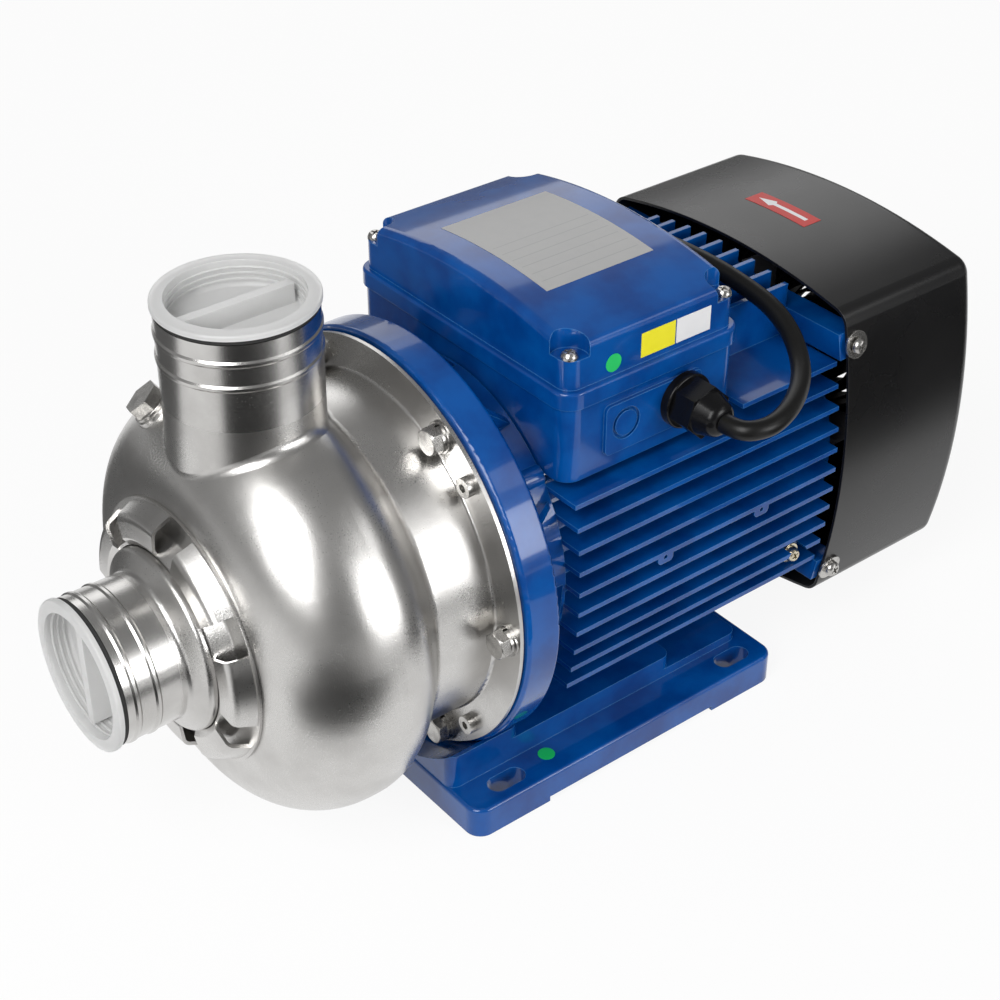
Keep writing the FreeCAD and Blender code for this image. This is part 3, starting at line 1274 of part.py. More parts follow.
def make_housing():
    """The finned motor housing with its seat on the base, tapped tabs and earth boss."""
    s = sizes
    half = s.fin_thickness / 2
    side = (int(number(s.fin_count)) - 1) // 2
    lower = (int(number(s.fin_count_above)) - 1) // 2
    box_end = s.box_at + s.box_length + s.rest_gap
    rear = s.housing_at + s.housing_length
    body = new_body("motor_housing")
    rods(body, s.housing_at, s.housing_length, [(0.0, 0.0)], s.housing_radius)
    side_fins = new_sketch(body, "YZ_Plane", s.housing_at)
    for step in range(-side, side):
        level = s.fin_pitch * float(step)
        rectangle(side_fins, -fin_tip(level), level - half, fin_tip(level), level + half)
    pad(body, side_fins, s.housing_length)
    lower_fins = new_sketch(body, "YZ_Plane", s.housing_at)
    upper_fins = new_sketch(body, "YZ_Plane", box_end)
    for step in range(-lower, lower + 1):
        across = s.fin_pitch * float(step)
        rectangle(lower_fins, across - half, -s.fin_depth_below, across + half, -s.housing_wall)
        rectangle(upper_fins, across - half, s.housing_wall, across + half, fin_tip(across))
    pad(body, lower_fins, s.housing_length)
    pad(body, upper_fins, rear - box_end)
    top_fin = new_sketch(body, "YZ_Plane", box_end)
    level = s.fin_pitch * float(side)
    rectangle(top_fin, -fin_tip(level), level - half, fin_tip(level), level + half)
    pad(body, top_fin, rear - box_end)
    seat = new_sketch(body, "XY_Plane", s.rail_middle_top - s.shaft_height)
    rectangle(seat, s.housing_foot_at, -s.housing_foot_half_width,
              s.housing_foot_at + s.housing_foot_length, s.housing_foot_half_width, 4.0)
    pad(body, seat, s.shaft_height - s.rail_middle_top - s.housing_radius * 0.8)
    tabs = new_sketch(body, "XZ_Plane", s.housing_radius * 0.95)
    for at in (s.tab_first_at, s.tab_second_at):
        rectangle(tabs, at - s.tab_width / 2, -s.tab_drop - s.tab_height / 2,
                  at + s.tab_width / 2, -s.tab_drop + s.tab_height / 2, s.tab_height * 0.35)
    pad(body, tabs, s.fin_reach - s.housing_radius * 0.95)
    holes = new_sketch(body, "XZ_Plane", s.fin_reach)
    circles(holes, [(at, -s.tab_drop) for at in (s.tab_first_at, s.tab_second_at)], s.tab_hole)
    pad(body, holes, s.tab_width, kind="Pocket")
    earth_root = s.tie_rod_y + s.tie_rod_radius + s.rest_gap
    earth = new_sketch(body, "XZ_Plane", earth_root)
    circles(earth, [(s.earth_at, -s.earth_drop)], s.earth_boss_radius)
    pad(body, earth, s.earth_boss_reach - earth_root)
    notch = new_sketch(body, "XZ_Plane", s.fin_reach)
    circles(notch, [(s.earth_at, -s.earth_drop)], s.earth_washer_radius + s.earth_notch)
    pad(body, notch, s.fin_reach - s.earth_boss_reach, kind="Pocket")
    earth_hole = new_sketch(body, "XZ_Plane", s.earth_boss_reach)
    circles(earth_hole, [(s.earth_at, -s.earth_drop)], s.tie_rod_radius + s.run_gap)
    pad(body, earth_hole, 2 * s.tie_boss_radius, kind="Pocket")
    drill(body, s.housing_at - 1.0, s.housing_length + 2.0, [(0.0, 0.0)], s.housing_radius - s.housing_wall)
    screw_cut(body, foot_screw_places()[2:], s.foot_screw_rear_seat + s.foot_screw_length + 0.5,
              s.foot_screw_radius + s.run_gap)
    place(body)
    keep(body)

    screw = new_body("earth_screw")
    for start, length, radius in ((s.earth_boss_reach, s.earth_washer, s.earth_washer_radius),
                                  (s.earth_boss_reach + s.earth_washer, s.earth_head, s.earth_head_radius)):
        sketch = new_sketch(screw, "XZ_Plane", start)
        circles(sketch, [(s.earth_at, -s.earth_drop)], radius)
        pad(screw, sketch, length)
    shank = new_sketch(screw, "XZ_Plane", s.earth_boss_reach + 1.0)
    circles(shank, [(s.earth_at, -s.earth_drop)], s.tie_rod_radius)
    pad(screw, shank, 2 * s.tie_boss_radius - 1.0, reverse=True)
    place(screw)
    return keep(screw)


def square_root(value):
    """Square root of a size."""
    return Size(math.sqrt(number(value)), f"sqrt({value.text})")


def make_motor_inside():
    """Stator stack with its end windings, and the rotor core with its cage rings."""
    s = sizes
    end = s.stator_at + s.stator_length
    turned("stator_core", [
        (s.stator_at, s.stator_bore),
        (s.stator_at, s.housing_radius - s.housing_wall - s.run_gap),
        (end, s.housing_radius - s.housing_wall - s.run_gap),
        (end, s.stator_bore),
    ])
    windings = new_body("stator_windings")
    for start in (s.stator_at - s.winding_length, end):
        revolve(windings, [
            (start, s.winding_inner, s.winding_round),
            (start, s.winding_outer, s.winding_round),
            (start + s.winding_length, s.winding_outer, s.winding_round),
            (start + s.winding_length, s.winding_inner, s.winding_round),
        ])
    place(windings)
    keep(windings)
    core = s.stator_bore - s.air_gap
    turned("rotor_core", [
        (s.stator_at, s.shaft_radius + s.run_gap),
        (s.stator_at, s.cage_ring_inner),
        (s.stator_at - s.cage_ring, s.cage_ring_inner),
        (s.stator_at - s.cage_ring, s.cage_ring_outer),
        (s.stator_at, s.cage_ring_outer),
        (s.stator_at, core),
        (end, core),
        (end, s.cage_ring_outer),
        (end + s.cage_ring, s.cage_ring_outer),
        (end + s.cage_ring, s.cage_ring_inner),
        (end, s.cage_ring_inner),
        (end, s.shaft_radius + s.run_gap),
    ])


def cover_arc():
    """Radius of the curve that each side of the fan cover follows."""
    s = sizes
    rise = s.cover_reach - s.cover_corner
    return (s.cover_corner * s.cover_corner + rise * rise) / (rise * 2.0)


def cover_side(height, inset=0.0):
    """Distance of the fan cover's side from the middle plane, at a height above the shaft axis."""
    arc = cover_arc() - inset
    return sizes.cover_reach - cover_arc() + square_root(arc * arc - height * height)


def cover_screw_seats():
    """Where each fan cover screw enters the cover, and its direction out of it."""
    s = sizes
    lean = math.asin(number(s.cover_lug_height) / number(cover_arc()))
    seats = []
    for y_side, z_side in ((1, 1), (-1, 1), (-1, -1), (1, -1)):
        base = (s.cover_screw_at, cover_side(s.cover_lug_height) * y_side, s.cover_lug_height * z_side)
        seats.append((base, Vector(0, y_side * math.cos(lean), z_side * math.sin(lean))))
    return seats


def make_rear_shield():
    """Rear end shield with its bearing hub, spigot, tie rod bosses and the lugs of the fan cover."""
    s = sizes
    front = s.housing_at + s.housing_length
    rear = front + s.rear_shield_thickness
    seat = s.rear_bearing_radius + s.run_gap
    spigot = s.housing_radius - s.housing_wall - s.run_gap
    floor = s.rear_bearing_at + s.rear_bearing_width + s.spring_ring_height
    body = new_body("rear_shield")
    revolve(body, [
        (front, s.rear_shield_radius),
        (rear, s.rear_shield_radius, 1.5),
        (rear, s.rear_shaft_hole),
        (floor, s.rear_shaft_hole),
        (floor, seat),
        (s.rear_bearing_at, seat),
        (s.rear_bearing_at, seat + s.rear_hub_wall),
        (front, seat + s.rear_hub_wall, 4.0),
        (front, s.bracket_spigot_radius),
        (front - s.bracket_spigot, s.bracket_spigot_radius),
        (front - s.bracket_spigot, spigot),
        (front, spigot),
    ])
    rods(body, front, s.rear_shield_thickness, tie_rod_places(), s.tie_boss_radius)
    lugs = new_sketch(body, "YZ_Plane", front)
    low, high = s.cover_lug_height - s.cover_lug_half, s.cover_lug_height + s.cover_lug_half
    inset = s.cover_wall + s.rest_gap
    for y_side in (1, -1):
        for z_side in (1, -1):
            rounded_outline(lugs, [
                (s.cover_lug_root * y_side, low * z_side),
                (cover_side(low, inset) * y_side, low * z_side),
                (cover_side(high, inset) * y_side, high * z_side),
                (s.cover_lug_root * y_side, high * z_side),
            ])
    pad(body, lugs, s.cover_lug_end_at - front)
    drill(body, front - 1.0, s.rear_shield_thickness + 2.0, tie_rod_places(), s.tie_rod_radius + s.bolt_clearance)
    for base, direction in cover_screw_seats():
        hole = free_sketch(body, base, direction)
        circles(hole, [(0.0, 0.0)], s.cover_screw_radius + s.run_gap)
        pad(body, hole, s.cover_screw_length + 1.0, kind="Pocket")
    place(body)
    keep(body)

    tie_rods = new_body("tie_rods")
    start = s.bracket_shoulder_at + 1.0 + s.rest_gap
    rods(tie_rods, start, rear + s.tie_nut_height - start, tie_rod_places(), s.tie_rod_radius)
    hex_heads(tie_rods, rear, s.tie_nut_height, tie_rod_places(), s.tie_nut_hex)
    place(tie_rods)
    return keep(tie_rods)


def arched_square(sketch, inset):
    """Square with outward curved sides and round corners, an inset inside the fan cover's outer face."""
    s = sizes
    arc = cover_arc() - inset
    corner = s.cover_corner_round - inset
    middle = cover_arc() - s.cover_reach
    offset, reach = number(middle), number(arc) - number(corner)
    centre = (math.sqrt(2.0 * reach ** 2 - offset ** 2) - offset) / 2
    half = math.asin(centre / reach)
    arcs = []
    for index in range(4):
        aim = index * math.pi / 2
        place_xy = Vector(-offset * math.cos(aim), -offset * math.sin(aim), 0)
        side = sketch.addGeometry(Part.ArcOfCircle(Part.Circle(place_xy, Vector(0, 0, 1), number(arc)),
                                                   aim - half, aim + half), False)
        sketch.addConstraint(Sketcher.Constraint("PointOnObject", side, 3, -1 if index % 2 == 0 else -2))
        tie(sketch, "DistanceX" if index % 2 == 0 else "DistanceY",
            middle * (-1.0 if index < 2 else 1.0), -1, 1, side, 3)
        tie(sketch, "Radius", arc, side)
        slant = aim + math.pi / 4
        place_xy = Vector(math.cos(slant), math.sin(slant), 0) * (centre * math.sqrt(2.0))
        turn = Part.ArcOfCircle(Part.Circle(place_xy, Vector(0, 0, 1), number(corner)),
                                aim + half, aim + math.pi / 2 - half)
        arcs += [side, sketch.addGeometry(turn, False)]
    for index, arc_id in enumerate(arcs):
        sketch.addConstraint(Sketcher.Constraint("Tangent", arcs[index - 1], 2, arc_id, 1))
        if index % 2 == 1:
            tie(sketch, "Radius", corner, arc_id)


def quarter_slot(sketch, inner, outer, bridge):
    """A curved slot over a quarter turn between two radii, half a bridge away from both axes."""
    ends = []
    for radius in (inner, outer):
        start = math.asin(number(bridge) / 2 / number(radius))
        circle = Part.Circle(Vector(), Vector(0, 0, 1), number(radius))
        arc = sketch.addGeometry(Part.ArcOfCircle(circle, start, math.pi / 2 - start), False)
        sketch.addConstraint(Sketcher.Constraint("Coincident", arc, 3, -1, 1))
        tie(sketch, "Radius", radius, arc)
        tie(sketch, "DistanceY", bridge / 2, -1, 1, arc, 1)
        tie(sketch, "DistanceX", bridge / 2, -1, 1, arc, 2)
        ends.append(arc)
    for end in (1, 2):
        line = Part.LineSegment(sketch.getPoint(ends[0], end), sketch.getPoint(ends[1], end))
        index = sketch.addGeometry(line, False)
        sketch.addConstraint(Sketcher.Constraint("Coincident", index, 1, ends[0], end))
        sketch.addConstraint(Sketcher.Constraint("Coincident", index, 2, ends[1], end))


def make_fan_cover():
    """The pressed fan cover with curved sides and rings of air slots in its back, its screws and washers."""
    s = sizes
    rear = s.cover_at + s.cover_length
    body = new_body("fan_cover")
    outline = new_sketch(body, "YZ_Plane", s.cover_at)
    arched_square(outline, 0.0)
    pad(body, outline, s.cover_length)
    inside = new_sketch(body, "YZ_Plane", s.cover_at)
    arched_square(inside, s.cover_wall)
    hollow = pad(body, inside, s.cover_length - s.cover_wall, kind="Pocket", reverse=True)
    floor = rear - s.cover_wall
    inner = round_edges(body, hollow, s.cover_edge_round - s.cover_wall,
                        lambda edge, middle: abs(middle.x - number(floor)) < 0.01)
    round_edges(body, inner, s.cover_edge_round,
                lambda edge, middle: abs(middle.x - number(rear)) < 0.01)
    slots = new_sketch(body, "YZ_Plane", rear + 1.0)
    for ring in range(int(number(s.vent_ring_count))):
        start = s.vent_ring_first + s.vent_ring_step * float(ring)
        quarter_slot(slots, start, start + s.vent_ring_width, s.vent_bridge)
    cut = pad(body, slots, s.cover_wall + 2.0, kind="Pocket")
    polar(body, cut, 4)
    for base, direction in cover_screw_seats():
        hole = free_sketch(body, moved(base, direction, 1.0), direction)
        circles(hole, [(0.0, 0.0)], s.cover_screw_radius + s.bolt_clearance)
        pad(body, hole, s.cover_wall + 2.0, kind="Pocket")
    place(body)
    keep(body)

    screws = new_body("fan_cover_screws")
    washers = new_body("fan_cover_washers")
    for base, direction in cover_screw_seats():
        head = free_sketch(screws, moved(base, direction, s.cover_washer), direction)
        circles(head, [(0.0, 0.0)], s.cover_screw_head_radius)
        pad(screws, head, s.cover_screw_head)
        shank = free_sketch(screws, moved(base, direction, s.cover_washer + 1.0), direction)
        circles(shank, [(0.0, 0.0)], s.cover_screw_radius)
        pad(screws, shank, s.cover_screw_length + s.cover_washer + 1.0, reverse=True)
        ring = free_sketch(washers, base, direction)
        circles(ring, [(0.0, 0.0)], s.cover_washer_radius)
        circles(ring, [(0.0, 0.0)], s.cover_screw_radius + s.run_gap)
        pad(washers, ring, s.cover_washer)
    for piece in (screws, washers):
        place(piece)
        keep(piece)


def make_fan():
    """Radial fan with its hub and disc, and the clip that holds it on the shaft."""
    s = sizes
    bore = s.shaft_end_radius + s.run_gap
    end = s.fan_at + s.fan_length
    body = new_body("fan")
    revolve(body, [
        (s.fan_at, bore),
        (s.fan_at, s.fan_disc_radius),
        (s.fan_at + s.fan_disc, s.fan_disc_radius),
        (s.fan_at + s.fan_disc, s.fan_hub_radius, 2.0),
        (end, s.fan_hub_radius, 1.0),
        (end, bore),
    ])
    sketch = new_sketch(body, "YZ_Plane", s.fan_at + s.fan_disc / 2)
    rectangle(sketch, -s.fan_blade / 2, s.fan_hub_radius - 2.0, s.fan_blade / 2, s.fan_radius)
    blade = pad(body, sketch, s.fan_length - s.fan_disc / 2)
    polar(body, blade, s.fan_blades)
    place(body)
    keep(body)
    turned("fan_clip", [
        (end + s.run_gap, s.clip_groove + s.run_gap),
        (end + s.run_gap, s.clip_radius),
        (end + s.run_gap + s.clip_width, s.clip_radius),
        (end + s.run_gap + s.clip_width, s.clip_groove + s.run_gap),
    ])


def octagon(sketch, wall, post):
    """Inside of the terminal box or its cover: the wall all round, and a post across each corner."""
    s = sizes
    front, rear = s.box_at + wall, s.box_at + s.box_length - wall
    side = s.box_half_width - wall
    leg = post - wall
    rounded_outline(sketch, [
        (front + leg, -side), (rear - leg, -side), (rear, leg - side), (rear, side - leg),
        (rear - leg, side), (front + leg, side), (front, side - leg), (front, leg - side),
    ])


def lid_screw_places():
    """The four cover screws of the terminal box (x, y)."""
    s = sizes
    front, rear = s.box_at + s.screw_inset, s.box_at + s.box_length - s.screw_inset
    side = s.box_half_width - s.screw_inset
    return [(front, side), (rear, side), (rear, -side), (front, -side)]


def make_terminal_box():
    """The terminal box, with its wells, corner posts, raised panel, blank cable entry and gland hole."""
    s = sizes
    rear = s.box_at + s.box_length
    body = new_body("terminal_box")
    outline = new_sketch(body, "XY_Plane", s.box_foot)
    rectangle(outline, s.box_at, -s.box_half_width, rear, s.box_half_width, s.box_round)
    pad(body, outline, s.box_joint - s.box_foot)
    panel = new_sketch(body, "XZ_Plane", s.box_half_width - s.box_wall / 2)
    panel_at = s.box_at + s.panel_from_front
    rectangle(panel, panel_at, s.panel_low, panel_at + s.panel_length, s.panel_high, s.panel_round)
    pad(body, panel, s.box_wall / 2 + s.panel_rise)
    seat = new_sketch(body, "YZ_Plane", s.box_at - 1.0)
    circles(seat, [(0.0, 0.0)], s.housing_radius + s.run_gap)
    pad(body, seat, s.box_length + 2.0, kind="Pocket", reverse=True)
    inside = new_sketch(body, "XY_Plane", s.box_joint)
    octagon(inside, s.box_wall, s.box_post)
    pad(body, inside, s.box_joint - s.box_floor, kind="Pocket")
    wells = new_sketch(body, "XY_Plane", s.box_joint)
    for low, high in ((s.box_well_inner, s.box_half_width - s.box_wall),
                      (s.box_wall - s.box_half_width, -s.box_well_inner)):
        rectangle(wells, s.box_at + s.box_post, low, rear - s.box_post, high)
    pad(body, wells, s.box_joint - s.box_well_floor, kind="Pocket")
    face = s.box_half_width + s.panel_rise
    knockout = new_sketch(body, "XZ_Plane", face)
    for radius in (s.knockout_radius, s.knockout_blank):
        circles(knockout, [(s.box_at + s.knockout_from_front, s.gland_height)], radius)
    pad(body, knockout, s.knockout_depth, kind="Pocket")
    entry = new_sketch(body, "XZ_Plane", face + 1.0)
    circles(entry, [(s.box_at + s.gland_from_front, s.gland_height)], s.gland_thread_radius + s.run_gap)
    pad(body, entry, s.box_wall + s.panel_rise + 2.0, kind="Pocket")
    holes = new_sketch(body, "XY_Plane", s.box_joint)
    circles(holes, lid_screw_places(), s.lid_screw_radius + s.run_gap)
    pad(body, holes, s.lid_screw_length - s.screw_notch_floor, kind="Pocket")
    place(body)
    keep(body)

    gasket = new_body("terminal_gasket")
    sheet = new_sketch(gasket, "XY_Plane", s.box_joint)
    rectangle(sheet, s.box_at, -s.box_half_width, rear, s.box_half_width, s.box_round)
    octagon(sheet, s.box_wall, s.box_post)
    circles(sheet, lid_screw_places(), s.lid_screw_radius + s.run_gap)
    pad(gasket, sheet, s.gasket)
    place(gasket)
    return keep(gasket)


def crown_section(sketch, half, foot, shoulder, rise):
    """Section across the cover: straight sides from a foot to a shoulder, and an arc that rises over them."""
    arc = (half * half + rise * rise) / (rise * 2.0)
    middle = shoulder + rise - arc
    turn = math.asin(number(half) / number(arc))
    circle = Part.Circle(Vector(0, number(middle), 0), Vector(0, 0, 1), number(arc))
    crown = sketch.addGeometry(Part.ArcOfCircle(circle, math.pi / 2 - turn, math.pi / 2 + turn), False)
    points = [Vector(number(x), number(y), 0) for x, y in
              ((-half, shoulder), (-half, foot), (half, foot), (half, shoulder))]
    lines = [sketch.addGeometry(Part.LineSegment(points[index], points[index + 1]), False) for index in range(3)]
    sketch.addConstraint(Sketcher.Constraint("Coincident", crown, 2, lines[0], 1))
    sketch.addConstraint(Sketcher.Constraint("Coincident", lines[0], 2, lines[1], 1))
    sketch.addConstraint(Sketcher.Constraint("Coincident", lines[1], 2, lines[2], 1))
    sketch.addConstraint(Sketcher.Constraint("Coincident", lines[2], 2, crown, 1))
    sketch.addConstraint(Sketcher.Constraint("PointOnObject", crown, 3, -2))
    tie(sketch, "Radius", arc, crown)
    for x, y, line, end in ((-half, foot, lines[1], 1), (half, foot, lines[1], 2)):
        tie_point(sketch, x, "DistanceX", line, end)
        tie_point(sketch, y, "DistanceY", line, end)
    tie_point(sketch, -half, "DistanceX", lines[0], 1)
    tie_point(sketch, half, "DistanceX", lines[2], 2)
    tie_point(sketch, shoulder, "DistanceY", lines[2], 2)


def make_terminal_cover():
    """The crowned cover of the terminal box with its rim and screw notches, and its four screws."""
    s = sizes
    foot = s.box_joint + s.gasket
    front = s.box_at + s.lid_inset
    length = s.box_length - s.lid_inset * 2.0
    half = s.box_half_width - s.lid_inset
    shoulder = foot + s.lid_side
    body = new_body("terminal_cover")
    sides = new_sketch(body, "XY_Plane", foot)
    rectangle(sides, front, -half, front + length, half, s.box_round - s.lid_inset)
    pad(body, sides, s.lid_side + s.lid_crown)
    crown = new_sketch(body, "YZ_Plane", front - 1.0)
    crown_section(crown, half, foot - 1.0, shoulder, s.lid_crown)
    rectangle(crown, -half - 5.0, foot - 2.0, half + 5.0, shoulder + s.lid_crown + 5.0)
    cut = pad(body, crown, length + 2.0, kind="Pocket", reverse=True)
    edge_low = number(shoulder) - 3.0

    def top_edge(edge, middle):
        return middle.z > edge_low and not (isinstance(edge.Curve, Part.Line) and edge.BoundBox.ZLength > 1.0)
    round_edges(body, cut, s.lid_top_round, top_edge)
    rim = new_sketch(body, "XY_Plane", foot)
    rectangle(rim, s.box_at - s.lid_rim, -s.box_half_width - s.lid_rim, s.box_at + s.box_length + s.lid_rim,
              s.box_half_width + s.lid_rim, s.box_round + s.lid_rim)
    rim_pad = pad(body, rim, s.lid_rim_height)
    rim_side = number(s.box_half_width) + 0.5
    rim_front, rim_rear = number(s.box_at) - 0.5, number(s.box_at + s.box_length) + 0.5
    rim_top = number(foot + s.lid_rim_height) - 0.01

    def rim_edge(edge, middle):
        outside = abs(middle.y) > rim_side or middle.x < rim_front or middle.x > rim_rear
        corner = isinstance(edge.Curve, Part.Circle) and edge.Curve.Radius > number(s.box_round)
        return abs(middle.z - rim_top) < 0.1 and (outside or corner)
    round_edges(body, rim_pad, s.lid_rim_round, rim_edge)
    inside = new_sketch(body, "XY_Plane", foot)
    octagon(inside, s.lid_inset + s.lid_shell, s.box_post)
    pad(body, inside, s.screw_notch_floor - s.lid_shell, kind="Pocket", reverse=True)
    loft = new_sketch(body, "YZ_Plane", s.box_at + s.box_post)
    hollow = half - s.box_post
    crown_section(loft, hollow, foot + s.lid_rim_height, foot + s.lid_side - s.lid_roof, s.lid_crown / 2)
    pad(body, loft, s.box_length - s.box_post * 2.0, kind="Pocket", reverse=True)
    notches = new_sketch(body, "XY_Plane", foot + s.screw_notch_floor)
    circles(notches, lid_screw_places(), s.screw_notch)
    pad(body, notches, s.lid_side + s.lid_crown, kind="Pocket", reverse=True)
    holes = new_sketch(body, "XY_Plane", foot - 1.0)
    circles(holes, lid_screw_places(), s.lid_screw_radius + s.bolt_clearance)
    pad(body, holes, s.screw_notch_floor + 2.0, kind="Pocket", reverse=True)
    place(body)
    keep(body)

    screws = new_body("terminal_cover_screws")
    seat = foot + s.screw_notch_floor
    heads = new_sketch(screws, "XY_Plane", seat)
    circles(heads, lid_screw_places(), s.lid_screw_head)
    pad(screws, heads, s.lid_screw_rise)
    shanks = new_sketch(screws, "XY_Plane", seat + 1.0)
    circles(shanks, lid_screw_places(), s.lid_screw_radius)
    pad(screws, shanks, s.lid_screw_length + 1.0, reverse=True)
    place(screws)
    return keep(screws)


def make_terminals():
    """Terminal block with two rows of studs, and the run capacitor in the side well."""
    s = sizes
    middle = s.box_at + s.box_length / 2
    block = new_body("terminal_block")
    outline = new_sketch(block, "XY_Plane", s.box_floor)
    rectangle(outline, middle - s.block_length / 2, -s.block_width / 2,
              middle + s.block_length / 2, s.block_width / 2, 2.0)
    pad(block, outline, s.block_height)
    studs = new_sketch(block, "XY_Plane", s.box_floor + s.block_height / 2)
    for side in (-s.stud_pitch / 2, s.stud_pitch / 2):
        circles(studs, [(middle + s.stud_pitch * step, side) for step in (-1.0, 0.0, 1.0)], s.stud_radius)
    pad(block, studs, s.block_height / 2 + s.stud_rise)
    place(block)
    keep(block)

    capacitor = new_body("capacitor")
    start = middle - s.capacitor_length / 2
    revolve(capacitor, [
        (start, 0.0),
        (start, s.capacitor_radius, 1.5),
        (start + s.capacitor_length, s.capacitor_radius, 1.5),
        (start + s.capacitor_length, 0.0),
    ])
    place(capacitor, 0.0, s.capacitor_y, s.box_well_floor + s.capacitor_radius + s.rest_gap)
    return keep(capacitor)


def make_gland():
    """Cable gland in the raised panel: threaded body, and the domed nut that the cable leaves from."""
    s = sizes
    base = (s.box_at + s.gland_from_front, -s.box_half_width - s.panel_rise, s.gland_height)
    outward = FreeCAD.Rotation(Vector(0, 0, 1), -90)
    thread_end = s.gland_collar + s.gland_hex_length - 2.0
    body = new_body("gland_body")
    revolve(body, [
        (-s.gland_thread, s.gland_bore),
        (-s.gland_thread, s.gland_thread_radius),
        (0.0, s.gland_thread_radius),
        (0.0, s.gland_collar_radius),
        (s.gland_collar, s.gland_collar_radius, 1.0),
        (s.gland_collar, s.gland_seat_radius),
        (thread_end, s.gland_seat_radius),
        (thread_end, s.gland_bore),
    ])
    place(body, *base, turn=outward)
    keep(body)
    nut = new_body("gland_nut")
    hex_heads(nut, s.gland_collar, s.gland_hex_length, [(0.0, 0.0)], s.gland_hex)
    dome = s.gland_collar + s.gland_hex_length
    revolve(nut, [
        (dome - 1.0, 0.0),
        (dome - 1.0, s.gland_hex / 2 - 0.5),
        (dome, s.gland_hex / 2 - 0.5),
        (dome + s.gland_nose, s.gland_nose_radius, 5.0),
        (dome + s.gland_nose, 0.0),
    ])
    drill(nut, s.gland_collar - 1.0, s.gland_hex_length - 1.0 + s.rest_gap, [(0.0, 0.0)],
          s.gland_seat_radius + s.run_gap)
    place(nut, *base, turn=outward)
    return keep(nut)


def slots_outline(sketch, x, y):
    """One foot slot, long along the shaft, about its middle."""
    s = sizes
    reach = s.slot_length / 2 - s.slot_radius
    radius = number(s.slot_radius)
    ends = []
    for side, start in ((1, -math.pi / 2), (-1, math.pi / 2)):
        middle = x + reach * float(side)
        circle = Part.Circle(Vector(number(middle), number(y), 0), Vector(0, 0, 1), radius)
        arc = sketch.addGeometry(Part.ArcOfCircle(circle, start, start + math.pi), False)
        tie_point(sketch, middle, "DistanceX", arc, 3)
        tie_point(sketch, y, "DistanceY", arc, 3)
        tie(sketch, "Radius", s.slot_radius, arc)
        ends.append(arc)
    for first, second in ((ends[0], ends[1]), (ends[1], ends[0])):
        line = sketch.addGeometry(Part.LineSegment(sketch.getPoint(first, 2), sketch.getPoint(second, 1)), False)
        sketch.addConstraint(Sketcher.Constraint("Tangent", first, 2, line, 1))
        sketch.addConstraint(Sketcher.Constraint("Tangent", line, 2, second, 1))


def make_base():
    """Cast base: plate with foot slots, stepped pedestal, the saddle of the bracket, and the screws from below."""
    s = sizes
    ground = -s.shaft_height
    body = new_body("foot_base")
    plate = new_sketch(body, "XY_Plane", ground)
    rectangle(plate, s.foot_front_at, -s.foot_half_width, s.foot_rear_at, s.foot_half_width, s.foot_corner)
    slab = pad(body, plate, s.foot_plate)
    top = number(s.foot_plate - s.shaft_height)
    round_edges(body, slab, s.foot_edge_round, lambda edge, middle: abs(middle.z - top) < 0.01)
    steps = ((s.rail_front_at, s.rail_front_end, s.rail_front_top),
             (s.rail_front_end, s.rail_middle_end, s.rail_middle_top),
             (s.rail_middle_end, s.rail_rear_end, s.rail_rear_top))
    for index, (start, end, height) in enumerate(steps):
        block = new_sketch(body, "XY_Plane", ground + s.foot_plate / 2)
        reach = start - s.rail_round * 2.0 if index else start
        rectangle(block, reach, -s.rail_half_width, end, s.rail_half_width, s.rail_round)
        pad(body, block, height - s.foot_plate / 2)
    saddle = new_sketch(body, "YZ_Plane", s.foot_front_at - 1.0)
    circles(saddle, [(0.0, 0.0)], s.bracket_radius + s.saddle_gap)
    pad(body, saddle, s.rail_front_end - s.foot_front_at + 1.0, kind="Pocket", reverse=True)
    relief = new_sketch(body, "XY_Plane", ground)
    rectangle(relief, s.foot_relief_at, -s.foot_half_width - 1.0,
              s.foot_relief_at + s.foot_relief_length, s.foot_half_width + 1.0)
    pad(body, relief, s.foot_relief, kind="Pocket", reverse=True)
    slots = new_sketch(body, "XY_Plane", ground - 1.0)
    for x_side in (-1.0, 1.0):
        for y_side in (-1.0, 1.0):
            slots_outline(slots, s.slot_spacing / 2 * x_side - s.port_axis_at, s.slot_gauge / 2 * y_side)
    pad(body, slots, s.foot_plate + 2.0, kind="Pocket", reverse=True)
    screw_cut(body, foot_screw_places(), s.rail_front_top + 1.0, s.foot_screw_radius + s.bolt_clearance)
    seats = (s.foot_screw_front_seat, s.foot_screw_rear_seat)
    for pair, seat in zip((foot_screw_places()[:2], foot_screw_places()[2:]), seats):
        screw_cut(body, pair, seat, s.foot_screw_head_radius + 0.5)
    place(body)
    keep(body)

    screws = new_body("foot_screws")
    for pair, seat in zip((foot_screw_places()[:2], foot_screw_places()[2:]), seats):
        heads = new_sketch(screws, "XY_Plane", ground + seat)
        circles(heads, pair, s.foot_screw_head_radius)
        pad(screws, heads, s.foot_screw_head, reverse=True)
        shanks = new_sketch(screws, "XY_Plane", ground + seat - 1.0)
        circles(shanks, pair, s.foot_screw_radius)
        pad(screws, shanks, s.foot_screw_length + 1.0)
    place(screws)
    return keep(screws)


